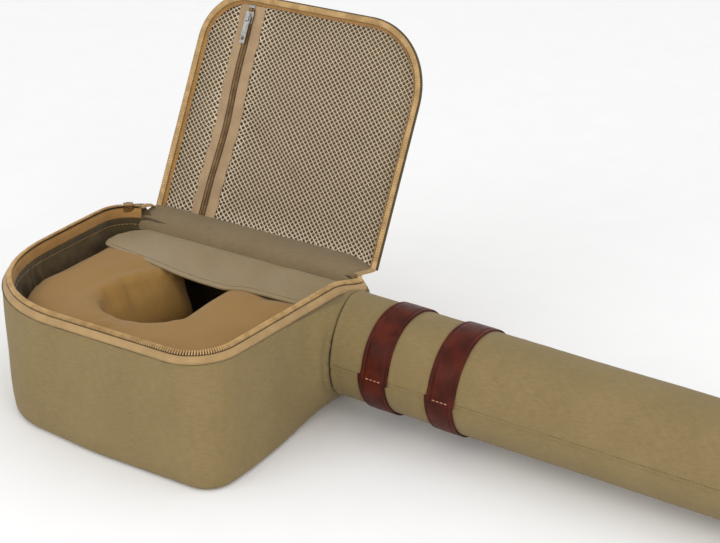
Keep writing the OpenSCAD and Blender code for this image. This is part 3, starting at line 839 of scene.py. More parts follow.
def crown(points, height):
    """Raises points towards the middle of the lid, and lets the padding ripple a little."""
    mid_x, mid_y = (LID_LEFT + LID_RIGHT) / 2, (LID_FRONT + LID_BACK) / 2
    reach = np.hypot((points[:, 0] - mid_x) / (LID_RIGHT - mid_x),
                     (points[:, 1] - mid_y) / (LID_BACK - mid_y))
    points[:, 2] += height * (1 - ease(reach, 0.1, 1.15)) + 0.5 * wander(points, 38.0, 2.0)
    return points


def lid_dish(name, rings, material):
    """Solid of rings drawn on the closed lid. Its cloth runs along x and y."""
    points, faces = dish(rings)
    return mesh_object(name, opened(points), faces, material, points[:, :2])


def free_sides(pitch, end=2.0):
    """Line along the lid's free sides, from the hinge on the left round to the hinge."""
    arcs = corner_arcs(LID_LEFT, LID_RIGHT, LID_FRONT, LID_BACK, LID_CORNERS, LID_SPANS)
    arcs = np.vstack([[(LID_LEFT, LID_BACK - end)], arcs, [(LID_RIGHT, LID_BACK - end)]])
    return even(arcs, pitch, False)


lid_free_line = free_sides(2.6)


def along_lid(inset, z):
    """Line along the closed lid's free sides, moved in by inset."""
    flat = lid_free_line[0] - lid_free_line[1] * inset
    return np.column_stack([flat, np.full(len(flat), z)])


def lid_sweep(name, section, material):
    """Solid along the lid's free sides. section is a closed list of (inset, z)."""
    rows = [along_lid(inset, z) for inset, z in section]
    return loft(name, opened(np.stack(rows, 1)), material, False)


outside = [lid_ring(0, 12), lid_ring(0.5, 14), lid_ring(2.0, LID_TOP - 4),
           lid_ring(3.6, LID_TOP - 1.8), lid_ring(6.0, LID_TOP - 0.2), lid_ring(9, LID_TOP + 0.6)]
outside += [crown(lid_ring(9, LID_TOP + 0.6, share), 3.6) for share in np.linspace(0.06, 0.94, 15)]
inside = [crown(lid_ring(9, LID_TOP - 0.8, share), 3.6) for share in (0.94, 0.6, 0.3, 0.1)]
inside += [lid_ring(7.2, LID_TOP - 1.5), lid_ring(4.8, LID_TOP - 3.2), lid_ring(3.0, LID_TOP - 5),
           lid_ring(1.6, 12.6)]


place(lid_dish("lid_cover", outside[::-1] + inside[::-1], CANVAS), "lid", ["lid_canvas"])

foam_rings = [lid_ring(9, LINING_Z + 1.0, 0.5), lid_ring(9, LINING_Z + 1.0),
              lid_ring(8.4, LINING_Z + 1.4), lid_ring(8.8, LID_TOP - 2.0),
              lid_ring(10, LID_TOP - 1.6, 0.1), lid_ring(10, LID_TOP - 1.4, 0.5)]
place(lid_dish("lid_padding", foam_rings, FOAM), "lid", ["lid_foam"])


def lid_fold(x, y):
    """Slack fold that runs across the open lid's net and lining."""
    off = (x + 38) * 0.55 - (y - 8) * 0.83
    along = (x + 38) * 0.83 + (y - 8) * 0.55
    return (1.7 * np.exp(-(off / 6.0) ** 2) - 1.1 * np.exp(-((off - 13) / 8.0) ** 2)) * (
        ease(along, -12, 14) * (1 - ease(along, 66, 96)))


def quilted(ring):
    ring[:, 2] += 1.0 * lid_fold(ring[:, 0], ring[:, 1]) - 0.8 * wander(ring, 34.0, 7.0)
    return ring


lining_rings = [quilted(lid_ring(6, LINING_Z, share)) for share in np.linspace(0.94, 0.04, 14)]
lining_rings += [lid_ring(6.4, LINING_Z - 0.6), lid_ring(4.6, LINING_Z - 1.6),
                 lid_ring(4.6, LINING_Z - 1.0), lid_ring(6.4, LINING_Z + 0.2),
                 lid_ring(9, LINING_Z + 0.9), lid_ring(9, LINING_Z + 0.9, 0.6)]
place(lid_dish("lid_lining_sheet", lining_rings, LID_LINING), "lid", ["lid_lining"])

lid_edge = lid_sweep("lid_edge_cord", [(-0.5, 12.6), (-0.9, 11.6), (-0.6, 10.6), (0.3, 10.2),
                                       (1.2, 10.6), (1.2, 12.4), (0.4, 13.0)], LINING)
place(lid_edge, "lid")

TAPE_IN = 7.6
border = [(1.0, 10.9), (2.6, 10.5), (4.4, 10.6), (5.6, 11.1), (6.6, 11.8), (TAPE_IN, 12.6),
          (TAPE_IN, 13.2), (6.6, 12.6), (5.4, 11.9), (4.4, 11.5), (2.6, 11.4), (1.0, 11.7)]
lid_tape = lid_sweep("lid_tape", border, FACING)
wall_band = [(2.2, 11.6), (3.2, 11.6), (4.9, LINING_Z - 1.2), (4.2, LINING_Z - 1.0)]
lid_wall = lid_sweep("lid_wall_tape", wall_band, FACING)
place(lid_tape, "lid", ["upper_zip_tape"])
place(lid_wall, "lid")

lid_bed = lid_sweep("lid_coil_bed", bead((2.6, 10.1), 2.2, 0.6, 10), COIL)
place(lid_bed, "lid", ["upper_zip_coil"])


def lid_tooth(here, out, across, along, high_up):
    tangent = np.array([-out[1], out[0]])
    xy = here - out * (2.3 - across) + tangent * along
    return tuple(opened((xy[0], xy[1], LID_COIL + 0.9 - high_up * 0.9)))


teeth_line = free_sides(2.6, 9)
place(strip_of_teeth("lid_teeth", teeth_line, lid_tooth, 2.1, (3.9, 1.5, 1.0), COIL), "lid")

dashes("lid_tape_stitches", opened(along_lid(5.4, 10.55)), 3.0, 2.0, 0.22, THREAD, "lid")


# ---- Net pocket of the lid ----

STRAND_STEP = (3.16, 3.3)        # spacing of the net's strands, each way
STRAND_WAY = (44.4, -50.8)       # degrees from the lid's width to each spacing
HOLE = 0.91                      # width of a hole compared with the spacing
NET_INSET = 6.2
NET_REACH = 75                   # holes counted each way from the middle, past the lid's edge
NET_MIDDLE = 10.0                # x of the net's middle knot
ZIP_HALF = 10.5                  # from the pocket zip's middle to the net


def net_frame():
    """The two steps from one knot of the net to the next."""
    waves = np.array([[math.cos(math.radians(a)) / s, math.sin(math.radians(a)) / s]
                      for a, s in zip(STRAND_WAY, STRAND_STEP)])
    return np.linalg.inv(waves)


def inside_lid(x, y, inset):
    """Whether a point of the lid's plan lies inside its outline, moved in by inset."""
    fl, fr = LID_CORNERS[0], LID_CORNERS[1]
    ok = (x > LID_LEFT + inset) & (x < LID_RIGHT - inset) & (y > LID_FRONT + inset)
    ok &= y < NET_BACK + 1.5
    for cx, r, side in ((LID_LEFT + fl, fl, -1), (LID_RIGHT - fr, fr, 1)):
        cy = LID_FRONT + r
        corner = (side * (x - cx) > 0) & (y < cy)
        ok &= ~corner | (np.hypot(x - cx, y - cy) < r - inset)
    return ok


def zip_line(y):
    """Middle of the pocket's zip, which wanders a little."""
    return POCKET_X + 1.5 + 1.3 * np.sin((y + 30) / 34.0) + 0.5 * np.sin(y / 13.0)


def net_shape(x, y):
    """Net bulges towards the room, and is gathered along the zip and the bottom."""
    off_zip = np.abs(x - zip_line(y)) - ZIP_HALF
    side = np.sign(x - zip_line(y))
    gather = np.exp(-np.clip(off_zip, 0, 90) / 9.0)
    bottom = np.exp(-np.clip(NET_BACK - y, 0, 99) / 12.0)
    points = np.stack([x, y, np.zeros_like(x)], -1)
    x2 = x - side * gather * (2.6 + 0.9 * np.sin(y / 3.1))
    y2 = y + bottom * 1.2 * np.sin(x / 3.4) + gather * 0.8 * np.sin(y / 2.3)
    z = NET_Z + 0.4 - 1.1 * wander(points, 44.0, 4.0) - 0.7 * wander(points, 17.0, 8.0)
    z += (lid_fold(x, y) + 0.3 * gather * np.sin(y / 2.1) + 0.4 * bottom * np.sin(x / 2.5)
          + 1.4 * gather)
    return x2, y2, np.clip(z, NET_Z - 1.8, LINING_Z - 1.2)


def net_panel(name, side, replaces):
    """Net on one side of the zip, cell by cell: eight faces round each hole."""
    step = net_frame()
    reach = np.arange(-NET_REACH, NET_REACH + 1)
    i, j = np.meshgrid(reach, reach, indexing="ij")
    middle_x = NET_MIDDLE + (i + 0.5) * step[0, 0] + (j + 0.5) * step[0, 1]
    middle_y = -((i + 0.5) * step[1, 0] + (j + 0.5) * step[1, 1])
    keep = inside_lid(middle_x, middle_y, NET_INSET)
    keep &= side * (middle_x - zip_line(middle_y)) > ZIP_HALF - 1.5
    ring = ((0, 0), (1, 0), (2, 0), (2, 1), (2, 2), (1, 2), (0, 2), (0, 1))
    hole = 0.5 * HOLE * np.array(((-0.9, -0.9), (0, -1), (0.9, -0.9), (1, 0), (0.9, 0.9), (0, 1),
                                  (-0.9, 0.9), (-1, 0)))
    off_zip = side * (middle_x - zip_line(middle_y)) - ZIP_HALF
    packed = np.maximum(np.exp(-np.clip(off_zip, 0, 99) / 6.0),
                        0.8 * np.exp(-np.clip(NET_BACK - middle_y, 0, 99) / 9.0))
    shrink = 1 - 0.3 * packed
    index, places, lift, faces = {}, [], [], []
    for a, b in zip(i[keep], j[keep]):
        outer = []
        for u, v in ring:
            key = (2 * a + u, 2 * b + v)
            if key not in index:
                index[key] = len(places)
                places.append((key[0] / 2, key[1] / 2))
                lift.append(-0.55 if u % 2 == 0 and v % 2 == 0 else -0.4)
            outer.append(index[key])
        first = len(places)
        for u, v in hole * shrink[a + NET_REACH, b + NET_REACH]:
            places.append((a + 0.5 + u, b + 0.5 + v))
            lift.append(0.0)
        for k in range(8):
            m = (k + 1) % 8
            faces.append((outer[k], outer[m], first + m, first + k))
    places = np.array(places)
    x = NET_MIDDLE + places[:, 0] * step[0, 0] + places[:, 1] * step[0, 1]
    y = -(places[:, 0] * step[1, 0] + places[:, 1] * step[1, 1])
    x, y, z = net_shape(x, y)
    points = opened(np.stack([x, y, z + np.array(lift)], 1))
    obj = mesh_object(name, points, faces, NET, sharp=80)
    thick = obj.modifiers.new("strand", "SOLIDIFY")
    thick.thickness, thick.offset = 0.5 * MM, 0
    applied(obj)
    return place(obj, "lid", replaces)


net_panel("net_left", -1, ["mesh_left"])
net_panel("net_right", 1, ["mesh_right"])


def pocket_strip(name, section, material, y0, y1, wave=0.0, pitch=2.0):
    """Solid along the pocket's zip. section is a closed list of (across, z)."""
    y = np.arange(y0, y1, pitch)
    rows = []
    for across, z in section:
        ripple = wave * (0.5 * np.sin(y / 2.3 + across) + 0.5 * np.sin(y / 5.9))
        edge = 0.5 * np.sign(across) * (abs(across) > 8) * np.sin(y / 3.1)
        rows.append(np.stack([zip_line(y) + across + edge, y, z + ripple], 1))
    return loft(name, opened(np.stack(rows, 1)), material, False)


strip_top = LID_FRONT + 8.0
strip_end = NET_BACK + 1.0
TAPE_Z = NET_Z - 0.9
for side, word in ((-1, "left"), (1, "right")):
    section = [(side * d, TAPE_Z + lift) for d, lift in
               ((1.2, 0.1), (3.5, -0.2), (6.5, 0.0), (10.0, 0.3), (12.2, 0.6),
                (12.2, 1.1), (10.0, 0.9), (6.5, 0.7), (3.5, 0.6), (1.2, 0.7))]
    strip = pocket_strip("pocket_tape_" + word + "_strip", section, POCKET_TAPE, strip_top,
                         strip_end, 0.25)
    place(strip, "lid", ["pocket_tape_" + word])
    # Dark line beside the pocket zip's teeth: painted shadow.
    cord = pocket_strip("pocket_shadow_line_" + word, [(side * 2.7 + x, TAPE_Z - 0.55 + z) for x, z in
                                                bead((0, 0), 0.42, 0.42, 6)],
                        SHADOW_THREAD, POCKET_FRONT, strip_end)
    place(cord, "lid")

    def pocket_tooth(here, out, across, along, high_up, side=side):
        x = zip_line(here[1]) + side * (1.15 + across)
        return tuple(opened((x, here[1] + along, TAPE_Z - 0.5 - high_up)))

    y = np.arange(POCKET_FRONT, strip_end, 1.0)
    row = (np.stack([zip_line(y), y], 1), np.tile((1.0, 0.0), (len(y), 1)), y - y[0])
    teeth = strip_of_teeth("pocket_teeth_" + word, row, pocket_tooth, 1.3, (1.9, 0.95, 1.3),
                           POCKET_COIL)
    place(teeth, "lid", ["pocket_coil_" + word])


# ---- Strip that the lid folds on ----

def resampled(path, count):
    """count points at equal steps along a path."""
    length = np.r_[0, np.cumsum(np.linalg.norm(np.diff(path, axis=0), axis=1))]
    at = np.linspace(0, length[-1], count)
    return np.stack([np.interp(at, length, column) for column in path.T], 1)


def relaxed(points, rounds):
    """Smooths a path, its ends kept."""
    for _ in range(rounds):
        points[1:-1] = (points[:-2] + 2 * points[1:-1] + points[2:]) / 4
    return points


def thick_profile(yz, half):
    """Closed section of a strip: a path in y and z with its thickness."""
    tangent = np.gradient(yz, axis=0)
    normal = np.stack([-tangent[:, 1], tangent[:, 0]], 1)
    normal /= np.linalg.norm(normal, axis=1)[:, None]
    return np.vstack([yz + normal * half, yz[::-1] - normal[::-1] * half])


def across_box(x, section):
    """Rows of points that carry a section in y and z along x."""
    rows = [np.column_stack([x, np.full(len(x), y), np.full(len(x), z)]) for y, z in section]
    return np.stack(rows, 1)


def bend_at_hinge(obj):
    """Bakes the piece's place into its mesh and returns it."""
    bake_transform(obj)
    return obj


def hinge_strip():
    """Lining strip from the back wall's top to the bottom of the lid's net."""
    x = np.arange(LID_LEFT + 1.5, LID_RIGHT - 2.0, 3.0)
    end = opened([(0, NET_BACK - 5.0, NET_Z + 0.6)])[:, 1:]
    path = np.vstack([[(BACK - 12.0, 86.0), (BACK - 11.0, 91.0), (BACK - 8.0, 95.4),
                       (BACK - 2.5, 98.4), (BACK + 5.0, 99.6)], end + (-3.0, 0.6), end])
    steps = 26
    points = across_box(x, thick_profile(relaxed(resampled(path, steps), 3), 0.35))
    points[..., 2] -= 5.0 * ease(points[..., 0], 88, 116)
    wave = wander(points * (1, 0.35, 0.35), 13.0, 6.0)
    middle_share = np.sin(np.pi * np.r_[np.linspace(0, 1, steps), np.linspace(1, 0, steps)])
    points[..., 2] += 0.8 * wave * middle_share[None]
    return loft("hinge_strip", points, CANVAS_DARK, False)


strip = bend_at_hinge(hinge_strip())
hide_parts("back_hinge_strip", "lid_back_strip")


def corner_gusset():
    """Dark lining that folds from the rim's back left end to the bottom of the lid's net."""
    corners = np.array([(-115, 94, 104), (-104, 101, 104.5), (-78, 94.5, 92), (-106, 92, 84)],
                       float)
    rows = []
    for u in np.linspace(0, 1, 10):
        a = corners[0] * (1 - u) + corners[1] * u
        b = corners[3] * (1 - u) + corners[2] * u
        line = np.array([a * (1 - v) + b * v - (0, 0, 3.0 * math.sin(math.pi * v))
                         for v in np.linspace(0, 1, 10)])
        rows.append(np.vstack([line + (0.3, -0.3, 0.3), line[::-1] - (0.3, -0.3, 0.3)]))
    return loft("corner_gusset", np.array(rows), LINING, False)


place(corner_gusset(), "case")


def zip_turn(name, x_rim, x_lid):
    """Tape that carries the zip from the end of the rim, past the hinge, to the lid."""
    lid_end = opened((x_lid, LID_BACK - 2.0, 10.5))
    top = RIM_TOP - 3.2 + rim_lift(x_rim, BACK - 8)
    path = np.array([(x_rim, BACK - 9, top), (x_rim, BACK - 3, top - 0.6),
                     (x_rim * 0.6 + x_lid * 0.4, HINGE[1] + 3.0, top - 1.6),
                     tuple((lid_end + (x_lid, HINGE[1] + 5.5, top - 2.0)) / 2),
                     tuple(lid_end)])
    line = relaxed(resampled(path, 16), 2)
    tangent = np.gradient(line, axis=0)
    up = np.stack([np.zeros(len(line)), -tangent[:, 2], tangent[:, 1]], 1)
    up /= np.linalg.norm(up, axis=1)[:, None]
    across = np.array((1.0, 0, 0))
    rows = [[c + across * u + n * w for u, w in
             ((-3.4, 0), (-2.6, 0.9), (0, 1.4), (2.6, 0.9), (3.4, 0), (2.6, -0.5), (-2.6, -0.5))]
            for c, n in zip(line, up)]
    return bend_at_hinge(loft(name, np.array(rows), TAPE, False))


zip_turn("zip_turn_right", rim_line[0][-1][0] - 3.5, LID_RIGHT - 3.0)
zip_turn("zip_turn_left", rim_line[0][0][0] + 2.0, LID_LEFT + 3.0)


def back_gusset():
    """Canvas outside of the hinge: from the back wall's outer face to the lid's cover."""
    x = np.arange(LID_LEFT + 6.0, LID_RIGHT - 6.0, 3.0)
    path = np.vstack([[(BACK + 0.1, WALL_TOP - 6)], [(BACK + 0.3, WALL_TOP)],
                      [(HINGE[1] + 0.7, HINGE[2] - 0.6)],
                      opened([(0, BACK + 0.2, 5.0), (0, BACK + 0.3, 12.0),
                              (0, BACK - 0.2, LID_TOP - 2)])[:, 1:]])
    points = across_box(x, thick_profile(resampled(path, 24), 0.5))
    return loft("hinge_outer_strip", points, CANVAS, False)


bend_at_hinge(back_gusset())


# ---- Padded insert with the reel pocket ----

def swollen(obj, voxel, pressure, cap):
    """Remeshes a pad, blows it up a little as cloth, and keeps every point within cap."""
    remesh = obj.modifiers.new("even", "REMESH")
    remesh.mode, remesh.voxel_size = "VOXEL", voxel * MM
    applied(obj)
    before = points_of(obj)
    cloth = obj.modifiers.new("cloth", "CLOTH")
    cloth.settings.quality = 4
    cloth.settings.use_pressure = True
    cloth.settings.uniform_pressure_force = pressure
    cloth.settings.effector_weights.gravity = 0
    cloth.point_cache.frame_start, cloth.point_cache.frame_end = 1, 20
    for number in range(1, 21):
        bpy.context.scene.frame_set(number)
    applied(obj)
    bpy.context.scene.frame_set(1)
    move = points_of(obj) - before
    far = np.linalg.norm(move, axis=1)
    return before, move * np.minimum(1, cap / np.maximum(far, 1e-6))[:, None]


def points_of(obj):
    found = np.empty(len(obj.data.vertices) * 3)
    obj.data.vertices.foreach_get("co", found)
    return found.reshape(-1, 3) / MM


def set_points(obj, points):
    obj.data.vertices.foreach_set("co", (points * MM).ravel())
    obj.data.update()


def smoothed(obj, levels=1):
    smooth = obj.modifiers.new("smooth", "SUBSURF")
    smooth.levels = smooth.render_levels = levels
    applied(obj)
    obj.data.shade_smooth()
    return obj


POCKET_HALF = 34.0
POCKET_MID = (-2.0, -20.0)


def make_insert():
    mesh = NODES["insert_foam"].data.copy()
    obj = bpy.data.objects.new("padded_insert", mesh)
    bpy.context.scene.collection.objects.link(obj)
    mesh.materials.clear()
    mesh.materials.append(INSERT)
    before, move = swollen(obj, 3.6, 4.0, 3.0)
    p = before + move * 0.8
    high_up = ease(p[:, 2], 35, INSERT_TOP)
    near = 1 - ease(p[:, 1], -52, -80)
    p[:, 1] += 3.0 * high_up * ease(p[:, 0], -34, -4) * (1 - ease(p[:, 0], 6, 40)) * (
        p[:, 1] < -30) * near
    arm = POCKET_MID[0] - POCKET_HALF + 12 * ease(p[:, 1], 0, 44) - 2
    inward = np.clip(arm - p[:, 0], 0, 99)
    left = ease(p[:, 1], -46, -18) * (p[:, 0] < 0) * (1 - ease(p[:, 1], 50, 62))
    p[:, 2] -= 1.6 * left * ease(p[:, 2], 60, 84) * np.exp(-(inward / 3.0) ** 1.3)
    p[:, 2] -= 1.6 * left * ease(p[:, 2], 60, 84) * np.exp(-((inward - 16) / 9.0) ** 2)
    p[:, 1] += 15.0 * ease(p[:, 0], 14, 34) * ease(p[:, 1], 8, 32)
    p[:, 0] += 9.0 * left * (1 - ease(p[:, 2], 46, 78)) * np.exp(-inward / 10.0)
    p[:, 0] -= 2.0 * left * ease(p[:, 2], 66, 82) * np.exp(-inward / 12.0)
    inner = np.hypot((p[:, 0] - POCKET_MID[0]), np.minimum(p[:, 1] - POCKET_MID[1], 0))
    wall = np.exp(-((inner - POCKET_HALF - 4) / 8.0) ** 2) * ease(p[:, 2], 20, 60)
    for y, size in ((-17, 4.6), (4, 3.6), (22, 3.0)):
        left_wall = (p[:, 0] < POCKET_MID[0]) * np.exp(-((p[:, 1] - y) / 2.8) ** 2)
        p[:, 0] -= size * left_wall * wall
    p[:, 2] += 0.9 * wander(p, 34.0, 2.0) * high_up
    set_points(obj, p)
    smoothed(obj)
    return place(obj, "case", ["insert_cover", "insert_foam"])


make_insert()


# ---- Cloth flap behind the insert ----

FLAP_FRONT = np.array([(-93, 46), (-55, 41.5), (-16, 34), (7, 31.5), (32, 31), (46, 38),
                       (66, 39.5), (89, 40), (115, 40)], float)


def make_flap():
    start, end = low("liner_flap"), high("liner_flap")
    x = np.linspace(start[0] + 1.5, end[0] - 1.5, 108)
    front = np.interp(x, FLAP_FRONT[:, 0], FLAP_FRONT[:, 1])
    for _ in range(4):
        front[1:-1] = (front[:-2] + front[1:-1] * 2 + front[2:]) / 4
    back_y = end[1] - 0.6
    rounded = 26.0
    from_left = np.clip(x - x[0], 0, rounded)
    bow = rounded - np.sqrt(np.clip(rounded ** 2 - (rounded - from_left) ** 2, 0, None))
    rear = back_y - bow * 0.9
    front = front + bow * 0.25
    top, under = [], []
    for t in np.linspace(0, 1, 26):
        y = front + (rear - front) * t
        plan = np.stack([x, y, np.zeros_like(x)], 1)
        fold_way = (plan[:, 0] * 0.72 + plan[:, 1] * 0.7)
        folds = 1.9 * wander(np.stack([fold_way * 0.5, (plan[:, 1] - plan[:, 0]) * 0.12,
                                       plan[:, 2]], 1), 9.0, 2.0)
        folds *= 0.45 + np.exp(-((x - 34) / 34) ** 2)
        z = INSERT_TOP + 1.6 + folds * ease(t, 0.0, 0.2) * (1 - ease(t, 0.85, 1.0))
        z = z - 1.5 * (1 - ease(t, 0.0, 0.2)) - 0.6 * ease(t, 0.85, 1.0)
        hem = 0.55 * np.exp(-((t - 0.035) / 0.045) ** 2)
        top.append(np.stack([x, y, z + 0.35 + hem], 1))
        under.append(np.stack([x, y, z - 0.35 - hem * 0.5], 1))
    obj = loft("flap_sheet", np.stack(top + under[::-1], 1), FLAP, False, sharp=60)
    place(obj, "flap", ["liner_flap"])
    hem_line = np.stack(top)[2] + (0, 0, 0.12)
    dashes("flap_hem_stitches", hem_line[3:-2], 2.6, 1.7, 0.2, THREAD, "flap")


make_flap()


# ---- Rod tube ----

def shell_arc(name, angles, lap):
    """Part of the tube's cover. lap(angles) lifts its outer face."""
    rows = []
    for x, radius in stations:
        x = x + (neck_lip(angles) - COVER_START) * (1 - ease(x, COVER_START, COVER_START + 34))
        outer = round_tube(x, np.full(len(angles), radius), angles)
        ripple = 0.3 * wander(outer * (0.3, 1, 1), 22.0, 5.0) + 0.15 * wander(outer, 9.0, 2.0)
        r_out = radius + ripple + lap(angles)
        r_in = np.minimum(radius - 1.25, CORE_R + 0.25)
        over = round_tube(x, r_out, angles)
        under = round_tube(x, np.full(len(angles), r_in), angles)
        rows.append(np.vstack([over, under[::-1]]))
    return loft(name, np.stack(rows), CANVAS, False, sharp=50)


COVER_START, COVER_END = 6.4, TUBE_LEN + 2.2
LAP = 184.0                      # where the tube's cover closes, at the front
stations = [(COVER_START, CORE_R + 0.4), (COVER_START + 0.1, TUBE_R + 0.15),
            (COVER_START + 0.7, TUBE_R + 0.5), (COVER_START + 2.2, TUBE_R + 0.35),
            (COVER_START + 3.4, TUBE_R + 0.05)]
stations += [(x, TUBE_R) for x in np.linspace(COVER_START + 6, COVER_END - 1.5, 70)]
stations += [(COVER_END - 0.4, TUBE_R - 0.15), (COVER_END, TUBE_R - 0.7)]

# Dark line where the tube's cover meets the box wall: painted shadow in the crease of the seam.
ring_angles = np.arange(40, 262, 3.0)
ring_line = round_tube(neck_lip(ring_angles) + 0.1, np.full(len(ring_angles), TUBE_R + 0.1),
                       ring_angles)
ring_out = ring_line - on_tube(neck_lip(ring_angles), 0, 0)
ring_out /= np.linalg.norm(ring_out, axis=1)[:, None]
ring_cord = [[c + o * 0.45 * math.sin(a) + TUBE_X * 0.45 * math.cos(a) for a in
              np.linspace(0, 2 * math.pi, 7)[:-1]] for c, o in zip(ring_line, ring_out)]
place(loft("tube_ring_seam_shadow", np.array(ring_cord), SHADOW_THREAD, False), "case")

collar_angles = np.linspace(-105, 115, 60)
collar = np.stack([round_tube(x, np.full(60, radius), collar_angles) for x, radius in
                   ((-8, TUBE_R - 0.5), (9, TUBE_R - 0.5),
                    (9, CORE_R + 0.2), (-8, CORE_R + 0.2))], 1)
place(loft("neck_collar", collar, CANVAS, False), "case")

upper_angles = np.r_[np.linspace(2, LAP - 6, 62), LAP - 4, LAP - 2, LAP - 0.9, LAP - 0.3, LAP]
lower_angles = np.linspace(LAP - 3, 361.5, 62)


def lap_over(angles):
    return 0.5 * ease(angles, LAP - 16, LAP - 6) - 0.35 * ease(angles, LAP - 0.8, LAP + 0.2)


def lap_under(angles):
    return -0.35 * (1 - ease(angles, LAP, LAP + 7))


upper = shell_arc("tube_cover_top", upper_angles, lap_over)
lower = shell_arc("tube_cover_bottom", lower_angles, lap_under)
place(upper, "case", ["tube_cover_upper"])
place(lower, "case", ["tube_cover_lower"])
along = np.arange(COVER_START + 3, COVER_END - 3, 1.0)
for name, rise, angle in (("tube_seam_stitches", 0.62, LAP - 4.2),
                          ("tube_back_stitches", 0.12, 5.0)):
    seam = round_tube(along, np.full(len(along), TUBE_R + rise), np.full(len(along), angle))
    dashes(name, seam, 3.0, 2.1, 0.24, THREAD, "case")


def end_ring(x, radius, count=72):
    return round_tube(np.full(count, x), np.full(count, radius), np.arange(count) * 360.0 / count)


CAP_END = ((node_points("tube_end_cover") - NECK) @ TUBE_X).max()
cap_rings = [end_ring(CAP_END + x, radius) for x, radius in
             ((-1.2, 8), (-1.2, 30), (-2.2, CORE_R - 1.2), (-3.2, CORE_R + 0.6),
              (-2.4, CORE_R + 1.3), (-1.2, CORE_R + 0.6), (-0.4, CORE_R - 2.0), (0.6, 31),
              (1.2, 20), (1.5, 8))]
points, faces = dish(cap_rings)
flat = np.stack([(points - NECK) @ TUBE_Y, (points - NECK) @ TUBE_Z], 1)
cap = mesh_object("tube_cap", points, faces, CANVAS, flat)
place(cap, "case", ["tube_end_cover"])

piping = []
for a in np.arange(0, 360, 4.0):
    section = [round_tube(COVER_END + 0.9 + u, TUBE_R - 1.0 + v, a) for u, v in
               bead((0, 0), 2.0, 1.9, 12)]
    piping.append(np.array(section))
place(loft("tube_cap_piping", np.array(piping), LEATHER), "case", ["tube_end_piping"])


# ---- Leather bands round the tube ----

BAND_AT = [float(middle((node_points(n) - NECK) @ TUBE_X)) for n in
           ("band_a_upper", "band_b_upper")]
BAND_W = float(np.ptp((node_points("band_a_upper") - NECK) @ TUBE_X))
STRAP_T = 1.5
BAND_GROUND = TUBE_R + 0.1       # radius that the straps lie on
OVERLAP = 1.3                    # how far the upper strap's end rides up over the lower one


def strap_profile(width, thick):
    """Cross-section of a strap: rounded edges, and a pressed line inside each edge."""
    half = width / 2
    top = []
    for x, z in ((-half, 0.45), (-half + 0.05, 0.85), (-half + 0.35, 1.0), (-half + 1.2, 1.03),
                 (-half + 2.2, 1.03), (-half + 2.45, 0.84), (-half + 2.65, 0.76),
                 (-half + 2.85, 0.84), (-half + 3.2, 1.03), (-half / 2, 1.06)):
        top.append((x, z * thick))
    top = top + [(0.0, 1.07 * thick)] + [(-x, z) for x, z in reversed(top)]
    return top + [(half - 0.2, 0.05), (half - 1, 0.0), (0.0, 0.0), (-half + 1, 0.0),
                  (-half + 0.2, 0.05)]


def upper_base(a):
    return BAND_GROUND + 0.1 + OVERLAP * float(ease(a, LAP - 15, LAP - 5))


def lower_base(a):
    return BAND_GROUND + 0.05


def strap(name, at, a0, a1, base, replaces):
    """Strap laid round the tube from one angle to another. base(angle) is its inner radius."""
    angles = np.arange(a0, a1 + 0.1, 3.0)
    angles = np.r_[a0 - 0.35, a0 - 0.1, angles, angles[-1] + 0.1, angles[-1] + 0.35]
    flatten = np.ones(len(angles))
    flatten[[0, -1]] = 0.35
    flatten[[1, -2]] = 0.85
    rows, width = [], BAND_W - 0.6
    for a, share in zip(angles, flatten):
        wobble = 0.25 * math.sin(a / 17.0 + at)
        radius = base(a)
        rows.append([round_tube(at + wobble + x, radius + z * share, a)
                     for x, z in strap_profile(width, STRAP_T)])
    obj = loft(name, np.array(rows), LEATHER, False, sharp=60)
    obj.data.materials.append(LEATHER_EDGE_AND_HOLE_SHADE)
    columns = len(strap_profile(width, STRAP_T))
    for face in obj.data.polygons:
        if len(face.vertices) > 4:
            face.material_index = 1
            continue
        column = min(v % columns for v in face.vertices)
        widest = max(v % columns for v in face.vertices)
        if column < 1 or column >= 20 or widest - column > 1 or column in (5, 6, 13, 14):
            face.material_index = 1
    return place(obj, "case", replaces)


for word, at in zip("ab", BAND_AT):
    name, node = "strap_" + word, "band_" + word
    strap(name + "_top", at, 7.0, LAP, upper_base, [node + "_upper"])
    strap(name + "_bottom", at - 2.6, LAP - 4.5, 365.0, lower_base, [node + "_lower"])
    across = np.linspace(-BAND_W / 2 + 4.2, BAND_W / 2 - 4.2, 30)
    radius = BAND_GROUND + 0.1 + OVERLAP + STRAP_T * 1.07
    # The dark dashes sunk under the stitches are painted shade in the stitch holes.
    for ending, sink, length, thick, material in (
            ("_stitches", 0, 2.3, 0.42, LEATHER_THREAD),
            ("_stitch_hole_shade", 0.12, 3.2, 0.34, LEATHER_EDGE_AND_HOLE_SHADE)):
        row = np.array([round_tube(at + x, radius - sink, LAP - 3.4) for x in across])
        dashes(name + ending, row, 3.4, length, thick, material, "case")


# ---- CAD parts that are shown as they are ----

def dress(node, material, bevel):
    """Gives a kept node its material, and rounds its edges by bevel."""
    obj = NODES[node]
    obj.data.materials.clear()
    obj.data.materials.append(material)
    if bevel:
        round_edge = obj.modifiers.new("rounded", "BEVEL")
        round_edge.width, round_edge.segments = bevel * MM, 3
        round_edge.limit_method, round_edge.angle_limit = "ANGLE", math.radians(35)
        round_edge.use_clamp_overlap = True
        obj.modifiers.new("normals", "WEIGHTED_NORMAL")


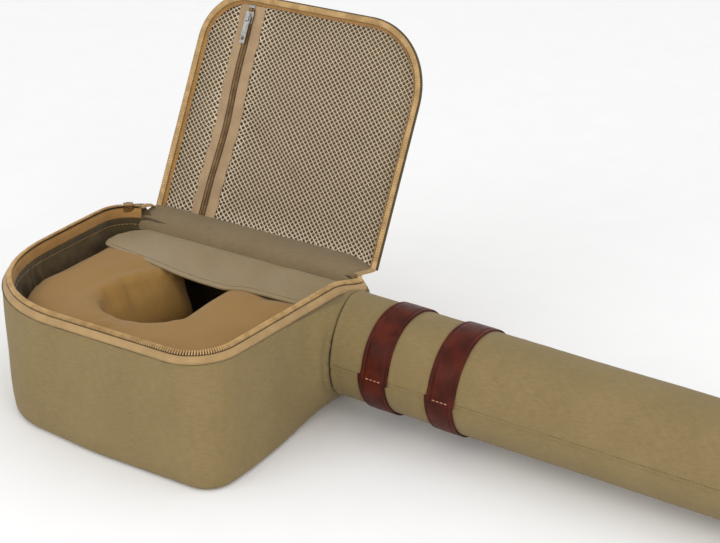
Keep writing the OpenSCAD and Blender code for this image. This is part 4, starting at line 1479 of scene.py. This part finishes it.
DRESS = {"neck_facing": (FACING, 0), "tube_core": (PLASTIC, 0), "tube_lining": (TUBE_LINING, 0),
         "tube_end_pad": (FOAM, 0), "tube_end_board": (PLASTIC, 0), "pocket_slider": (METAL, 0.35),
         "pocket_pull": (METAL, 0.3), "pocket_top_stop": (METAL, 0.2),
         "main_slider": (BRONZE, 0.4), "main_pull": (BRONZE, 0.3), "handle_rivets": (METAL, 0.3),
         "handle_ring_near": (METAL, 0), "handle_ring_far": (METAL, 0),
         "handle_tab_near": (LEATHER, 0.5), "handle_tab_far": (LEATHER, 0.5),
         "handle_core": (LEATHER, 0.5), "handle_grip": (LEATHER, 0.5)}
for node, (material, bevel) in DRESS.items():
    dress(node, material, bevel)


# ---- Floor, light and camera ----

def make_floor():
    mesh = bpy.data.meshes.new("floor")
    far = 3000
    mesh.from_pydata([(x * MM, y * MM, -0.0002) for x, y in
                      ((-far, -far), (far, -far), (far, far), (-far, far))], [], [(0, 1, 2, 3)])
    obj = bpy.data.objects.new("floor", mesh)
    bpy.context.scene.collection.objects.link(obj)
    n = Nodes("floor")
    fine = n.noise(n.space(), 40, 2)
    n.finish(n.mix(fine, srgb(250, 250, 250), srgb(246, 246, 246)), 0.9, n.bump(fine, 0.01))
    mesh.materials.append(n.material)


make_floor()


def area_light(name, place_at, target, size, power):
    light = bpy.data.lights.new(name, "AREA")
    light.shape, light.size, light.energy = "DISK", size, power
    obj = bpy.data.objects.new(name, light)
    obj.location = place_at
    way = Vector(target) - Vector(place_at)
    obj.rotation_euler = way.to_track_quat("-Z", "Y").to_euler()
    bpy.context.scene.collection.objects.link(obj)


scene = bpy.context.scene
world = bpy.data.worlds.new("studio")
world.use_nodes = True
world.node_tree.nodes["Background"].inputs["Color"].default_value = (1, 1, 1, 1)
world.node_tree.nodes["Background"].inputs["Strength"].default_value = 0.95
scene.world = world
scene.view_settings.view_transform = "Standard"
area_light("key", (-0.5, -1.6, 0.9), (0.05, 0, 0.05), 1.2, 6)
area_light("fill", (1.6, -0.9, 0.8), (0.1, 0, 0.05), 1.2, 9)

AZIMUTH, ELEVATION, DISTANCE = math.radians(34.19), math.radians(23.30), 1.44174
TARGET = Vector((0.1729, 0.0123, 0.1419))
camera = bpy.data.objects.new("camera", bpy.data.cameras.new("camera"))
camera.data.lens = 100.63
back = Vector((math.sin(AZIMUTH) * math.cos(ELEVATION), -math.cos(AZIMUTH) * math.cos(ELEVATION),
               math.sin(ELEVATION)))
camera.location = TARGET + back * DISTANCE
camera.rotation_euler = (-back).to_track_quat("-Z", "Y").to_euler()
scene.collection.objects.link(camera)
scene.camera = camera
